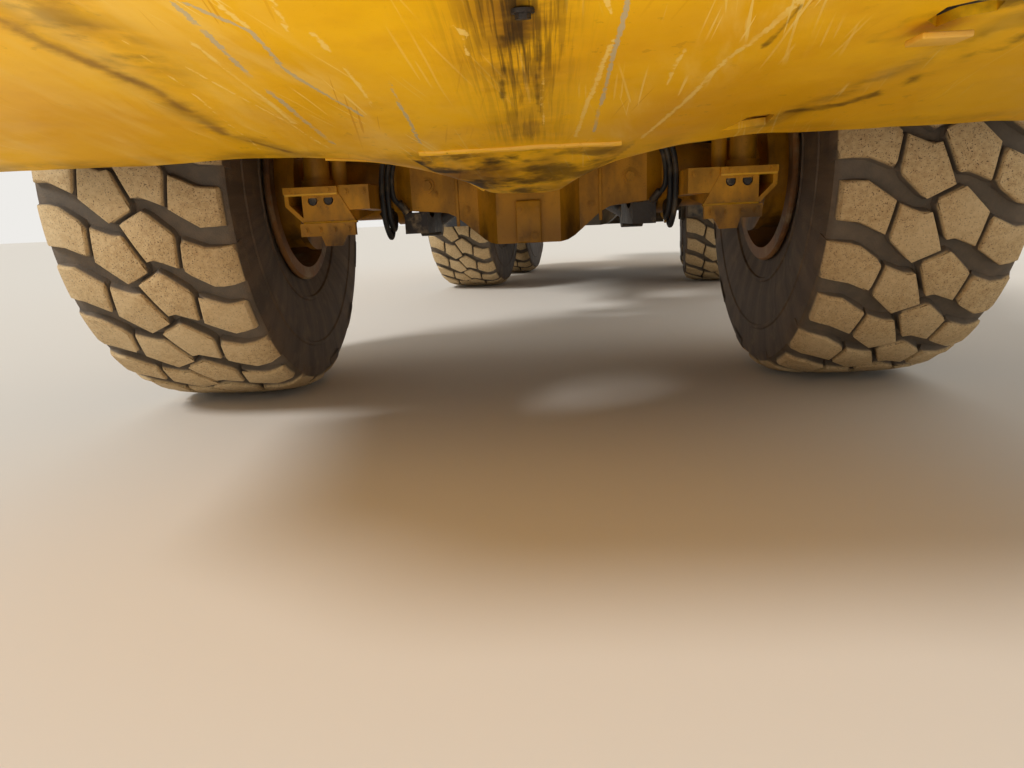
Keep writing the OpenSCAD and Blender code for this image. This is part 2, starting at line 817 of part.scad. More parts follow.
cab_outline = [
    [cab_front_y, cab_low], [cab_front_y, cab_low + 480], [cab_front_y + cab_rake, cab_top - 140],
    [cab_front_y + cab_rake + 60, cab_top], [cab_rear_y - 60, cab_top], [cab_rear_y, cab_top - 140],
    [cab_rear_y, cab_low]
];
cab_inside = [
    [cab_front_y + cab_t, cab_low + cab_t], [cab_front_y + cab_t, cab_low + 480],
    [cab_front_y + cab_rake + cab_t, cab_top - 160], [cab_front_y + cab_rake + 110, cab_top - cab_t],
    [cab_rear_y - 100, cab_top - cab_t], [cab_rear_y - cab_t, cab_top - 160],
    [cab_rear_y - cab_t, cab_low + cab_t]
];
door_y = [-420, 560];
door_z = [cab_low + 70, cab_top - 190];
window_low = cab_low + 700;
window_top = cab_top - 240;
pillar = 90;
door_pin_x = cab_half + 24;
door_pin_y = door_y[1] - door_gap + 6;
door_pin_r = 8;
knuckle_r = 14;
knuckle_z = [door_z[0] + 200, door_z[1] - 300];
knuckle_h = 90;
visor_y = cab_front_y + cab_rake + 45;

// Window and door openings in the side walls, as outlines in Y and Z
side_window = [
    [cab_front_y + 190, window_low], [cab_front_y + cab_rake + 130, window_top],
    [door_y[0] - 70, window_top], [door_y[0] - 70, window_low]
];
right_window = [
    [door_y[0] + 30, window_low], [door_y[0] + 30, window_top],
    [cab_rear_y - 150, window_top], [cab_rear_y - 150, window_low]
];
door_window = [
    [door_y[0] + pillar, window_low - 250], [door_y[0] + pillar, door_z[1] - pillar],
    [door_y[1] - pillar, door_z[1] - pillar], [door_y[1] - pillar, window_low - 250]
];

module cab_front_outline(inset) {
    r = roof_r - inset;
    polygon(concat(
        [[-cab_half + inset, cab_low - 1], [cab_half - inset, cab_low - 1]],
        arc([cab_half - roof_r, cab_top - roof_r], r, 0, 90, 8),
        arc([-cab_half + roof_r, cab_top - roof_r], r, 90, 180, 8)
    ));
}

module cab_space(inset, outline) {
    intersection() {
        side_plate([-cab_half + inset, cab_half - inset], outline);
        translate([0, cab_rear_y + 1, 0]) rotate([90, 0, 0])
            linear_extrude(height = cab_rear_y - cab_front_y + 2) cab_front_outline(inset);
    }
}

module cab() {
    color(yellow) tractor() for (z = knuckle_z) {
        rod_z(door_pin_x, door_pin_y, [z - 24, z + knuckle_h + 5], door_pin_r);
        rod_z(door_pin_x, door_pin_y, [z - 25, z - 1], knuckle_r);
        block([cab_half - 1, door_pin_x + knuckle_r], [door_pin_y, door_pin_y + 60], [z - 25, z - 1]);
    }
    color(yellow) tractor() side_plate([-cab_half + 150, cab_half - 150], [
        [visor_y, cab_top - 70], [visor_y - 170, cab_top - 120], [visor_y - 174, cab_top - 138],
        [visor_y, cab_top - 95]
    ]);
    color(yellow) tractor() difference() {
        cab_space(0, cab_outline);
        cab_space(cab_t, cab_inside);
        for (side = [-1, 1])
            side_plate([side * cab_half - cab_t - 10, side * cab_half + cab_t + 10], side_window);
        side_plate([-cab_half - 10, -cab_half + cab_t + 10], right_window);
        block([cab_half - cab_t - 10, cab_half + 10], door_y, door_z);
        block([-cab_half + pillar, cab_half - pillar], [cab_front_y - 10, cab_front_y + 300],
              [window_low + 30, window_top]);
        block([-cab_half + pillar, cab_half - pillar], [cab_rear_y - 100, cab_rear_y + 10],
              [window_low, window_top]);
    }
}

glass_t = 8;

module cab_glass() {
    color([0.35, 0.42, 0.42, 0.5]) tractor() {
        for (side = [-1, 1]) {
            x = side * (cab_half - cab_t / 2);
            side_plate([x - glass_t / 2, x + glass_t / 2], side_window);
        }
        side_plate([-cab_half + cab_t / 2 - glass_t / 2, -cab_half + cab_t / 2 + glass_t / 2],
                   right_window);
        block([-cab_half + pillar, cab_half - pillar],
              [cab_rear_y - cab_t / 2 - glass_t / 2, cab_rear_y - cab_t / 2 + glass_t / 2],
              [window_low, window_top]);
        intersection() {
            block([-cab_half + pillar, cab_half - pillar], [cab_front_y - 10, cab_front_y + 300],
                  [window_low + 30, window_top]);
            side_plate([-cab_half, cab_half], [
                [cab_front_y + cab_t / 2, cab_low + 480],
                [cab_front_y + cab_rake + cab_t / 2, cab_top - 150],
                [cab_front_y + cab_rake + cab_t / 2 + glass_t, cab_top - 150],
                [cab_front_y + cab_t / 2 + glass_t, cab_low + 480]
            ]);
        }
    }
}

module cab_interior() {
    floor_z = cab_low + cab_t;
    color(dark) tractor() {
        block([-90, 90], [90, 330], [floor_z, floor_z + 330]);
        block([-260, 260], [-60, 440], [floor_z + 320, floor_z + 450]);
        block([-250, 250], [400, 520], [floor_z + 440, floor_z + 1080]);
        block([-600, 600], [cab_front_y + cab_t, cab_front_y + cab_t + 150], [floor_z, floor_z + 400]);
        bar([0, cab_front_y + cab_t + 100, floor_z + 380], [0, -380, floor_z + 760], 35);
        translate([0, -380, floor_z + 760]) rotate([50, 0, 0])
            rotate_extrude() translate([200, 0]) circle(r = 16);
        translate([0, -380, floor_z + 760]) rotate([50, 0, 0]) block([-200, 200], [-15, 15], [-10, 10]);
        block([330, 420], [-150, 350], [floor_z, floor_z + 600]);
    }
}

mirror_x = 1330;
mirror_y = cab_front_y + cab_rake - 20;

module mirrors() {
    color(dark) tractor() both_sides() {
        for (z = [cab_top - 420, cab_top - 890])
            rod_x([cab_half + seat_gap, mirror_x], mirror_y, z, 15);
        front_plate([mirror_y - 50, mirror_y + 10], round_rect(
            [mirror_x - 110, mirror_x + 90], [cab_top - 900, cab_top - 380], 45));
    }
}

stack = [-1010, -250];

module exhaust() {
    color(grey) tractor() {
        rod_z(stack[0], stack[1], [deck_z, deck_z + 40], 110);
        rod_z(stack[0], stack[1], [deck_z + 30, deck_z + 850], 95);
        translate([stack[0], stack[1], deck_z + 849]) cylinder(h = 70, r1 = 95, r2 = 55);
        rod_z(stack[0], stack[1], [deck_z + 910, cab_top - 260], 55);
        translate([stack[0], stack[1], cab_top - 265]) sphere(r = 55);
        bar([stack[0], stack[1], cab_top - 290], [stack[0], stack[1] + 120, cab_top - 170], 55);
    }
}

module headlamps() {
    color(grey) tractor() {
        for (x = [-lamp_x, lamp_x])
            for (dx = [-72, 72])
                rod_y(x + dx, [guard_front_y - 6, guard_front_y + 60], (lamp_z[0] + lamp_z[1]) / 2, 55);
        for (x = [-lamp_x, lamp_x])
            block([x - 160, x + 160], [guard_front_y + bumper_t, guard_front_y + 40],
                  lamp_z + [-10, 10]);
        for (x = [-600, -420, 420, 600])
            block([x - 70, x + 70], [cab_front_y + cab_rake + 80, cab_front_y + cab_rake + 170],
                  [cab_top, cab_top + 110]);
        rod_z(-500, cab_rear_y - 200, [cab_top, cab_top + 30], 60);
        rod_z(-500, cab_rear_y - 200, [cab_top + 20, cab_top + 150], 50);
    }
}

// Hood, hinged at the foot of its nose

hood_slope = atan2(hood_rear_z - hood_nose_z, hood_rear_y - hood_front_y - hood_nose_r);

function hood_outline(t, rear) = concat(
    [[hood_rear_y + rear, hood_low], [hood_rear_y + rear, hood_rear_z - t]],
    arc([hood_front_y + t + hood_nose_r, hood_nose_z - t - hood_nose_r], hood_nose_r, 85, 175, 8),
    [[hood_front_y + t, hood_low]]
);

// Side outline cut to rounded long edges that follow the top's slope
module hood_space(t, rear) {
    r = hood_edge_r - t;
    intersection() {
        side_plate([-hood_half + t, hood_half - t], hood_outline(t, rear));
        translate([0, hood_rear_y, hood_rear_z]) rotate([hood_slope, 0, 0])
            front_plate([-2200, 400], concat(
                [[-hood_half + t, -1700], [hood_half - t, -1700]],
                arc([hood_half - hood_edge_r, -hood_edge_r], r, 0, 90, 8),
                arc([-hood_half + hood_edge_r, -hood_edge_r], r, 90, 180, 8)
            ));
    }
}

grille_half = 520;
grille_z = [hood_low + 90, hood_nose_z - 330];

module hood_shell() {
    difference() {
        hood_space(0, 0);
        translate([0, 0, -1]) hood_space(hood_t, 5);
        block([-grille_half, grille_half], [hood_front_y - 5, hood_front_y + 60], grille_z);
        for (side = [-1, 1])
            for (i = [0 : 6])
                block([side * hood_half - 20, side * hood_half + 20], [-1900 + i * 90, -1850 + i * 90],
                      [1650, 1950]);
    }
}

// Flat parts of the hood's sides, below its rounded edges and behind its nose
module hood_side_places(grow) {
    edge = hood_edge_r + 20;
    nose_y = hood_front_y + hood_nose_r + 20;
    both_sides() side_plate([hood_half - hood_t - 2, hood_half + 2], [
        [hood_rear_y + 2, hood_low - 2], [hood_rear_y + 2, hood_rear_z - edge + grow],
        [nose_y - grow, hood_nose_z - edge + grow], [nose_y - grow, hood_low - 2]
    ]);
}

module hood() {
    color(yellow) tractor() both_sides() difference() {
        union() {
            rod_x(hood_knuckle_x, hood_pin_y, hood_pin_z, knuckle_r - 1);
            block(hood_knuckle_x, [hood_pin_y, hood_front_y + 4], [hood_pin_z + 2, hood_pin_z + 12]);
        }
        rod_x(hood_knuckle_x + [-1, 1], hood_pin_y, hood_pin_z, hood_pin_r + pin_gap);
    }
    color(yellow) tractor() difference() {
        hood_shell();
        hood_side_places(seat_gap);
    }
}

module hood_sides() {
    color(yellow) tractor() intersection() {
        hood_shell();
        hood_side_places(0);
    }
}

module grille() {
    y = [hood_front_y + 2, hood_front_y + 30];
    color(dark) tractor() {
        difference() {
            block([-grille_half, grille_half], y, grille_z);
            block([-grille_half + 30, grille_half - 30], [y[0] - 5, y[1] + 5],
                  grille_z + [30, -30]);
        }
        for (i = [1 : 7]) {
            z = grille_z[0] + i * (grille_z[1] - grille_z[0]) / 8;
            block([-grille_half + 29, grille_half - 29], [y[0] + 4, y[1]], [z - 8, z + 8]);
        }
    }
}

// Cab door, hinged at its rear edge

module cab_door() {
    color(yellow) tractor() {
        difference() {
            block([cab_half - cab_t + 10, cab_half], door_y + [door_gap, -door_gap],
                  door_z + [door_gap, -door_gap]);
            side_plate([cab_half - cab_t, cab_half + 10], door_window);
        }
        for (z = knuckle_z)
            difference() {
                union() {
                    rod_z(door_pin_x, door_pin_y, [z, z + knuckle_h], knuckle_r);
                    block([cab_half - 1, door_pin_x], [door_pin_y - 60, door_pin_y - 6],
                          [z, z + knuckle_h]);
                }
                rod_z(door_pin_x, door_pin_y, [z - 1, z + knuckle_h + 1], door_pin_r + pin_gap);
            }
        block([cab_half - 1, cab_half + 40], [door_y[0] + 40, door_y[0] + 60],
              [window_low - 480, window_low - 300]);
    }
}

module door_glass() {
    color([0.35, 0.42, 0.42, 0.5]) tractor()
        side_plate([cab_half - 30, cab_half - 30 + glass_t], door_window);
}

// Hitch: barrel on the pin, roll tube and ears for the steering rods

ring_d = [335, 600];
ring_r = 230;

module hitch() {
    color(dark) load_unit() {
        difference() {
            union() {
                rod_z(0, 0, [roll_z - barrel_half, roll_z + barrel_half], 125);
                rod_y(0, [0, ring_d[1] + move_gap], roll_z, tube_r);
                rod_y(0, [ring_d[1] + move_gap, ring_d[1] + 30], roll_z, tube_r + 40);
                block([-290, 290], [190, ring_d[0] - move_gap], [steer_z + 35, roll_z - 40]);
                both_sides() {
                    for (z = [steer_z - 55, steer_z + 35])
                        translate([0, 0, z]) linear_extrude(height = 20) polygon(concat(
                            [[230, 220]],
                            arc([steer_rear_x, steer_rear_d], 62, -70, 120, 8),
                            [[230, 330]]
                        ));
                    block([225, 255], [225, 330], [steer_z - 55, steer_z + 40]);
                }
            }
            rod_z(0, 0, [roll_z - barrel_half - 1, roll_z + barrel_half + 1], hitch_pin_r + pin_gap);
        }
    }
}

// Steering cylinders: each lies between its front pin and its ear on the hitch

function turned(p) = [
    p[0] * cos(rest_turn) - p[1] * sin(rest_turn),
    hinge_y + p[0] * sin(rest_turn) + p[1] * cos(rest_turn)
];

module steer_frame(side) {
    front = [side * steer_x, steer_y];
    v = turned([side * steer_rear_x, steer_rear_d]) - front;
    tractor() translate([front[0], front[1], steer_z]) rotate([0, 0, atan2(v[1], v[0]) - 90])
        children();
}

steer_rod_r = 28;
steer_rod_len = 880;

module steer_barrel(side) {
    color(yellow) steer_frame(side) difference() {
        union() {
            rod_z(0, 0, [-30, 30], 58);
            rod_y(0, [45, steer_len], 0, steer_r);
            rod_y(0, [steer_len - 60, steer_len], 0, steer_r + 8);
        }
        rod_z(0, 0, [-35, 35], 30 + pin_gap);
        rod_y(0, [62, steer_len + 1], 0, steer_rod_r + pin_gap);
    }
}

module steer_rod(side) {
    l = norm(turned([side * steer_rear_x, steer_rear_d]) - [side * steer_x, steer_y]);
    color(grey) steer_frame(side) {
        rod_y(0, [l - steer_rod_len, l - 30], 0, steer_rod_r);
        rod_z(0, l, [-34, 34], 52);
    }
}

module steer_barrel_left() steer_barrel(1);
module steer_barrel_right() steer_barrel(-1);
module steer_rod_left() steer_rod(1);
module steer_rod_right() steer_rod(-1);

// Load frame

rear_rail_end = tip_d + 100;
tip_pin_r = 35;
hoist_axle_r = 60;
rear_tow_z = [rear_rail_low + 60, rear_rail_low + 220];

cross_d = [2250, 3850, rear_rail_end - 120];

module rear_frame() {
    color(dark) load_unit() {
        difference() {
            union() {
                rod_y(0, ring_d, roll_z, ring_r);
                block([-ring_r, ring_r], [ring_d[0] + 130, rear_rail_d + 50],
                      [rear_rail_low, rear_rail_top]);
            }
            rod_y(0, [ring_d[0] - 1, rear_rail_d + 60], roll_z, tube_r + pin_gap);
            rod_y(0, [ring_d[1], rear_rail_d + 60], roll_z, tube_r + 40 + move_gap);
        }
        block([-rear_rail_in + seat_gap, rear_rail_in - seat_gap], [rear_rail_d, rear_rail_d + 110],
              [rear_rail_low + 20, rear_rail_top - 20]);
        both_sides()
            block([ring_r - 1, rear_rail_in - seat_gap], [rear_rail_d, rear_rail_d + 160],
                  [rear_rail_low, rear_rail_top]);
    }
}

// Rails with the body's hinge cheeks, the bogie pins and the hoist's drop brackets
module rear_rails() {
    color(dark) load_unit() both_sides() {
        block([rear_rail_in, rear_rail_out], [rear_rail_d, rear_rail_end],
              [rear_rail_low, rear_rail_top]);
        difference() {
            for (x = [rear_rail_in, rear_rail_out - 32])
                side_plate([x, x + 32], concat(
                    [[tip_d - 100, rear_rail_top - 1]],
                    arc([tip_d, tip_hinge_z], 70, 150, 20, 8),
                    [[rear_rail_end - 20, rear_rail_top - 1]]
                ));
            rod_x([rear_rail_in - 1, rear_rail_out + 1], tip_d, tip_hinge_z, tip_pin_r);
        }
        rod_x([rear_rail_in - 10, rear_rail_out + 10], tip_d, tip_hinge_z, tip_pin_r);
        rod_x([rear_rail_out - 1, rear_rail_out + 30], mid_axle_d + bogie_gap / 2, 1110, 70);
        difference() {
            block([rear_rail_in + 20, rear_rail_out - 20], [hoist_low_d - 80, hoist_low_d + 80],
                  [hoist_low_z, rear_rail_low + 1]);
            rod_x([rear_rail_in, rear_rail_out], hoist_low_d, hoist_low_z, hoist_axle_r + seat_gap);
        }
    }
}

// Members between the rails, with the tow block
module cross_members() {
    color(dark) load_unit() {
        for (d = cross_d)
            block([-rear_rail_in + seat_gap, rear_rail_in - seat_gap], [d, d + 110],
                  [rear_rail_low + 20, rear_rail_top - 20]);
        difference() {
            block([-110, 110], [rear_rail_end - 11, rear_rail_end + 110], rear_tow_z);
            block([-115, 115], [rear_rail_end + 20, rear_rail_end + 115], rear_tow_z + [40, -40]);
            rod_z(0, rear_rail_end + 65, rear_tow_z + [-10, 10], tow_pin_r);
        }
    }
}

// Tube across the frame that carries the hoist cylinders' lower pins
module hoist_axle() {
    color(dark) load_unit() {
        rod_x([-hoist_x + 45, hoist_x - 45], hoist_low_d, hoist_low_z, hoist_axle_r);
        rod_x([-hoist_x - 60, hoist_x + 60], hoist_low_d, hoist_low_z, 35);
        both_sides() rod_x([hoist_x + 45, hoist_x + 60], hoist_low_d, hoist_low_z, 50);
    }
}

beam_z = axle_z + axle_r + seat_gap;
beam_low = beam_z + 90;

module bogie_beams() {
    mid = mid_axle_d + bogie_gap / 2;
    x = rear_rail_out + 31;
    color(dark) load_unit() both_sides() side_plate([x, x + beam_t], concat(
        [[mid_axle_d - 150, beam_z], [mid_axle_d + 150, beam_z], [mid - 350, beam_low],
         [mid + 350, beam_low], [rear_axle_d - 150, beam_z], [rear_axle_d + 150, beam_z],
         [rear_axle_d + 60, beam_low + 50]],
        arc([mid, beam_low + beam_h - 150], 150, 30, 150, 10),
        [[mid_axle_d - 60, beam_low + 50]]
    ));
}

module driveshafts() {
    color(grey) load_unit() {
        for (d = [[rear_rail_d - 50, mid_axle_d - nose_y - seat_gap],
                  [mid_axle_d + axle_r + 170 + seat_gap, rear_axle_d - nose_y - seat_gap]]) {
            rod_y(0, d, axle_z + 10, 48);
            rod_y(0, [d[1] - 30, d[1]], axle_z + 10, 70);
        }
        block([-90, 90], [rear_rail_d - 60, rear_rail_d + 60], [axle_z - 60, rear_rail_low - seat_gap]);
    }
}

flap_d = mid_axle_d - tyre_r - 140;

module mud_flaps() {
    color(dark) load_unit() both_sides() {
        block([half_track - 290, half_track + 270], [flap_d, flap_d + 14], [620, 1420]);
        block([rear_rail_out + seat_gap, half_track + 270], [flap_d + 14, flap_d + 64], [1240, 1300]);
    }
}

module tail_lamps() {
    color([0.55, 0.08, 0.05]) load_unit() both_sides() {
        block([rear_rail_out - 60, rear_rail_out + 160], [rear_rail_end + seat_gap, rear_rail_end + 60],
              [1140, 1260]);
    }
}

// Dump body

module body_section(inset, top) {
    c = inset * 0.42;
    polygon([
        [-floor_half + c, body_low + inset], [floor_half - c, body_low + inset],
        [side_half - inset, side_z + c], [side_half - inset, top], [-side_half + inset, top],
        [-side_half + inset, side_z + c]
    ]);
}

// Underside of the floor's slopes
function floor_under(x) = body_low + (x - floor_half) * (side_z - body_low) / (side_half - floor_half);
rib_d = body_front_d + 350;
rib_in = floor_half + 60;

module along_body(d) {
    translate([0, d[1], 0]) rotate([90, 0, 0]) linear_extrude(height = d[1] - d[0]) children();
}

module dump_body() {
    color(yellow) load_unit() {
        difference() {
            intersection() {
                along_body([body_front_d, body_tail_d]) body_section(0, headboard_top);
                side_plate([-side_half, side_half], [
                    [body_front_d, body_low], [tip_d + 120, body_low], [body_tail_d, tail_z],
                    [body_tail_d - 250, body_top - 250], [body_tail_d - 800, body_top],
                    [body_front_d + 500, body_top], [body_front_d + 150, headboard_top],
                    [body_front_d, headboard_top]
                ]);
            }
            intersection() {
                along_body([body_front_d + body_t, body_tail_d + 10])
                    body_section(body_t, headboard_top + 10);
                side_plate([-side_half, side_half], [
                    [body_front_d + body_t, body_low + body_t], [tip_d + 116, body_low + body_t],
                    [body_tail_d + 10, tail_z + body_t + 5], [body_tail_d + 10, headboard_top + 10],
                    [body_front_d + body_t, headboard_top + 10]
                ]);
            }
        }
        both_sides() {
            for (i = [0 : 4])
                along_body([rib_d, rib_d + rib_w] + [i, i] * rib_pitch) polygon([
                    [rib_in, floor_under(rib_in) + 2], [rib_in + 60, floor_under(rib_in + 60) - rib_h],
                    [side_half + rib_h, side_z - rib_h * 0.6], [side_half + rib_h, body_top - 80],
                    [side_half - 2, body_top - 80], [side_half - 2, side_z]
                ]);
            block([side_half - 2, side_half + rib_h], [rib_d, rib_d + rib_w] + [5, 5] * rib_pitch,
                  [side_z, body_top - 80]);
            block([side_half - 2, side_half + rib_h], [body_front_d + 520, body_tail_d - 820],
                  [body_top - 110, body_top]);
        }
    }
}

hoist_ear_t = 22;

// Rails, hinge bosses and hoist ears under the body
module body_mounts() {
    color(yellow) load_unit() both_sides() {
        block([rear_rail_in + 20, rear_rail_out - 20], [rear_rail_d + 380, tip_d - 130],
              [rear_rail_top + move_gap, body_low - seat_gap]);
        difference() {
            union() {
                rod_x([rear_rail_in + 37, rear_rail_out - 37], tip_d, tip_hinge_z, 68);
                block([rear_rail_in + 37, rear_rail_out - 37], [tip_d - 68, tip_d + 68],
                      [tip_hinge_z, body_low - seat_gap]);
            }
            rod_x([rear_rail_in, rear_rail_out], tip_d, tip_hinge_z, tip_pin_r + pin_gap);
        }
        for (x = [hoist_x - 60, hoist_x + 38])
            intersection() {
                side_plate([x, x + hoist_ear_t], concat(
                    [[hoist_up_d + 75, body_low + 200], [hoist_up_d - 75, body_low + 200]],
                    arc([hoist_up_d, hoist_up_z], 70, 190, 350, 10)
                ));
                front_plate([hoist_up_d - 100, hoist_up_d + 100], [
                    [x, hoist_up_z - 80], [x + hoist_ear_t, hoist_up_z - 80],
                    [x + hoist_ear_t, floor_under(x + hoist_ear_t) - seat_gap],
                    [x, floor_under(x) - seat_gap]
                ]);
            }
    }
}

// Hoist cylinders, leaning forward at rest

module hoist_frame() {
    v = [hoist_up_d - hoist_low_d, hoist_up_z - hoist_low_z];
    load_unit() translate([0, hoist_low_d, hoist_low_z]) rotate([atan2(v[1], v[0]), 0, 0])
        children();
}

hoist_l = norm([hoist_up_d - hoist_low_d, hoist_up_z - hoist_low_z]);
hoist_len = hoist_l - hoist_closed;
hoist_rod_r = 45;
hoist_rod_tail = 85;

module hoist_barrels() {
    color(yellow) hoist_frame() both_sides() difference() {
        union() {
            rod_x([hoist_x - 40, hoist_x + 40], 0, 0, 75);
            rod_y(hoist_x, [60, hoist_len], 0, hoist_r);
            rod_y(hoist_x, [hoist_len - 70, hoist_len], 0, hoist_r + 9);
        }
        rod_x([hoist_x - 41, hoist_x + 41], 0, 0, 35 + pin_gap);
        rod_y(hoist_x, [78, hoist_len + 1], 0, hoist_rod_r + pin_gap);
    }
}

module hoist_rods() {
    color(grey) hoist_frame() both_sides() {
        rod_y(hoist_x, [hoist_rod_tail, hoist_l - 100], 0, hoist_rod_r);
        rod_y(hoist_x, [hoist_l - 101, hoist_l - 30], 0, 31);
        rod_x([hoist_x - 32, hoist_x + 32], hoist_l, 0, 60);
    }
}

// Wheels: the front pair on the tractor, two pairs on the load unit

module rim_front_left() { color(yellow) tractor() at_wheel(1, 0) rim_shape(); }
module rim_front_right() { color(yellow) tractor() at_wheel(-1, 0) rim_shape(); }
module rim_middle_left() { color(yellow) load_unit() at_wheel(1, mid_axle_d) rim_shape(); }
module rim_middle_right() { color(yellow) load_unit() at_wheel(-1, mid_axle_d) rim_shape(); }
module rim_rear_left() { color(yellow) load_unit() at_wheel(1, rear_axle_d) rim_shape(); }
module rim_rear_right() { color(yellow) load_unit() at_wheel(-1, rear_axle_d) rim_shape(); }
module tyre_front_left() { color(rubber) tractor() at_wheel(1, 0) tyre_shape(); }
module tyre_front_right() { color(rubber) tractor() at_wheel(-1, 0) tyre_shape(); }
module tyre_middle_left() { color(rubber) load_unit() at_wheel(1, mid_axle_d) tyre_shape(); }
module tyre_middle_right() { color(rubber) load_unit() at_wheel(-1, mid_axle_d) tyre_shape(); }
module tyre_rear_left() { color(rubber) load_unit() at_wheel(1, rear_axle_d) tyre_shape(); }
module tyre_rear_right() { color(rubber) load_unit() at_wheel(-1, rear_axle_d) tyre_shape(); }

front_frame();
front_axle();
axle_brackets();
suspension_struts();
radius_arms();
skid_guard();
bumper();
engine();
radiator();
transmission();
mudguards();
steps();
handrails();
tanks();
cab();
cab_glass();
cab_interior();
mirrors();
exhaust();
headlamps();
hood();
hood_sides();
grille();
cab_door();
door_glass();
hitch();
steer_barrel_left();
steer_barrel_right();
steer_rod_left();
steer_rod_right();
rear_frame();
rear_rails();
cross_members();
hoist_axle();
rear_axles();
bogie_beams();
driveshafts();
mud_flaps();
tail_lamps();
dump_body();
body_mounts();
hoist_barrels();
hoist_rods();
rim_front_left();
rim_front_right();
rim_middle_left();
rim_middle_right();
rim_rear_left();
rim_rear_right();
tyre_front_left();
tyre_front_right();
tyre_middle_left();
tyre_middle_right();
tyre_rear_left();
tyre_rear_right();
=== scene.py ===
import json
import math
from functools import cache, reduce

import bmesh
import bpy
import numpy as np
from bpy.props import FloatProperty, FloatVectorProperty, IntProperty, PointerProperty
from mathutils import Matrix, Vector, noise


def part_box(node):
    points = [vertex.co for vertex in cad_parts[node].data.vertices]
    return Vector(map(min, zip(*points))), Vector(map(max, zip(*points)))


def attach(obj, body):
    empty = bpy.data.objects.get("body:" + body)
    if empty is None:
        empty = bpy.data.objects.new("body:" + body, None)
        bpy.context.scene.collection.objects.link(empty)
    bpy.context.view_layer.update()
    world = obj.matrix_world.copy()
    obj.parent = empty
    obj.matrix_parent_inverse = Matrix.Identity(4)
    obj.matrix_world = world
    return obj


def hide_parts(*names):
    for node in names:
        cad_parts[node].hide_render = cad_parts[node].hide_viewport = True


bl_info = {
    "name": "Articulated dump truck",
    "version": (1, 0, 0),
    "blender": (4, 5, 0),
    "location": "3D View > Sidebar > Truck",
    "description": "Dresses the frame of an articulated dump truck with its finished surfaces",
    "category": "Add Mesh",
}

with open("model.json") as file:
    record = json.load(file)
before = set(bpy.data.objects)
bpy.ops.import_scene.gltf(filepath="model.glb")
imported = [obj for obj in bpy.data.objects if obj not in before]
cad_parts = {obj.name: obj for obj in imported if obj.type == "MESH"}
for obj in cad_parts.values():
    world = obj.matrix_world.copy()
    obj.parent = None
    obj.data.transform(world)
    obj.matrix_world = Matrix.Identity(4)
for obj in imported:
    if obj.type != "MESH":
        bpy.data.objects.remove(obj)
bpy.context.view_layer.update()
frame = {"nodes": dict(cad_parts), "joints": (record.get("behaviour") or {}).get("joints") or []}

# Places taken from the frame


def middle(*nodes):
    """Middle of the box round some nodes of the frame."""
    boxes = [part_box(n) for n in nodes]
    low = Vector([min(b[0][i] for b in boxes) for i in range(3)])
    high = Vector([max(b[1][i] for b in boxes) for i in range(3)])
    return (low + high) / 2


def joint_place(name):
    """Point on a joint's axis."""
    return Vector(next(j["pos_m"] for j in frame["joints"] if j["name"] == name))


AXLE = middle("tyre_front_left", "tyre_front_right")
TYRE_R = AXLE.z
REAR_LEFT, REAR_RIGHT = middle("tyre_middle_left"), middle("tyre_middle_right")
REST_TURN = math.atan2(REAR_LEFT.y - REAR_RIGHT.y, REAR_LEFT.x - REAR_RIGHT.x)
HITCH = joint_place("steering")
TRACTOR = Matrix.Translation((AXLE.x, AXLE.y, 0))
LOAD = Matrix.Translation((HITCH.x, HITCH.y, 0)) @ Matrix.Rotation(REST_TURN, 4, "Z")
OUT, AHEAD, BACK, UP = (1, 0, 0), (0, -1, 0), (0, 1, 0), (0, 0, 1)
WHEELS = ["front_left", "front_right", "middle_left", "middle_right", "rear_left", "rear_right"]


def screen(red, green, blue):
    """Linear colour of a screen colour given in parts of 255."""
    return tuple(
        c / 12.92 if c <= 0.04045 else ((c + 0.055) / 1.055) ** 2.4
        for c in (red / 255, green / 255, blue / 255)
    )


def colour(label, about, red, green, blue):
    """Colour property with its default as a screen colour."""
    return FloatVectorProperty(name=label, description=about, subtype="COLOR", size=3,
                               min=0, max=1, default=screen(red, green, blue))


def length(label, about, metres):
    """Length property in metres."""
    return FloatProperty(name=label, description=about, unit="LENGTH", min=0, default=metres)


def amount(label, about, value, most=1):
    """Plain factor property."""
    return FloatProperty(name=label, description=about, min=0, max=most, default=value)


def angle(label, about, degrees):
    """Angle property with its default in degrees."""
    return FloatProperty(name=label, description=about, subtype="ANGLE",
                         default=math.radians(degrees))


class TruckPaint(bpy.types.PropertyGroup):
    """Colours and wear of the painted plates"""

    yellow: colour("Yellow", "Paint of the panels, axle and guard", 246, 188, 8)
    deep: colour("Deep yellow", "Where the paint has darkened", 216, 150, 4)
    dark: colour("Dark", "Chassis and mudguards", 44, 42, 40)
    dust: colour("Dust", "Dry quarry dust on every face", 192, 166, 124)
    rust: colour("Rust", "Bare and rusted steel", 92, 48, 24)
    grease: colour("Grease", "Oily grime in corners and on arms", 34, 24, 15)
    scuff: colour("Scuff", "Scratches down to grey primer", 186, 174, 140)
    # Umber is painted shade: the darker paint of the axle, brackets and struts under the truck
    shade_umber: colour("Umber", "Old paint in the shade of the truck", 150, 96, 8)
    # Pale is rubbed paint and scratches, and also the painted sheen on one wing of the guard
    pale: colour("Pale", "Rubbed and bleached paint", 246, 208, 110)
    steel: colour("Steel", "Floor of the load space, worn bare", 150, 140, 124)
    wear: amount("Wear", "Share of rust and scratches", 0.5)


class TruckTyres(bpy.types.PropertyGroup):
    """Tread of the six tyres"""

    pairs: IntProperty(name="Lug pairs", description="Pairs of lug rows round a tyre",
                       min=8, max=20, default=13)
    depth: length("Groove depth", "From the top of a block to the groove's floor", 0.036)
    edge: length("Edge round", "Worn edge of a block", 0.006)
    tread: colour("Tread", "Dusty tops of the blocks", 204, 176, 130)
    groove: colour("Groove", "Floor and walls of the grooves", 98, 88, 76)
    wall: colour("Sidewall", "Rubber of the sidewalls", 100, 82, 64)


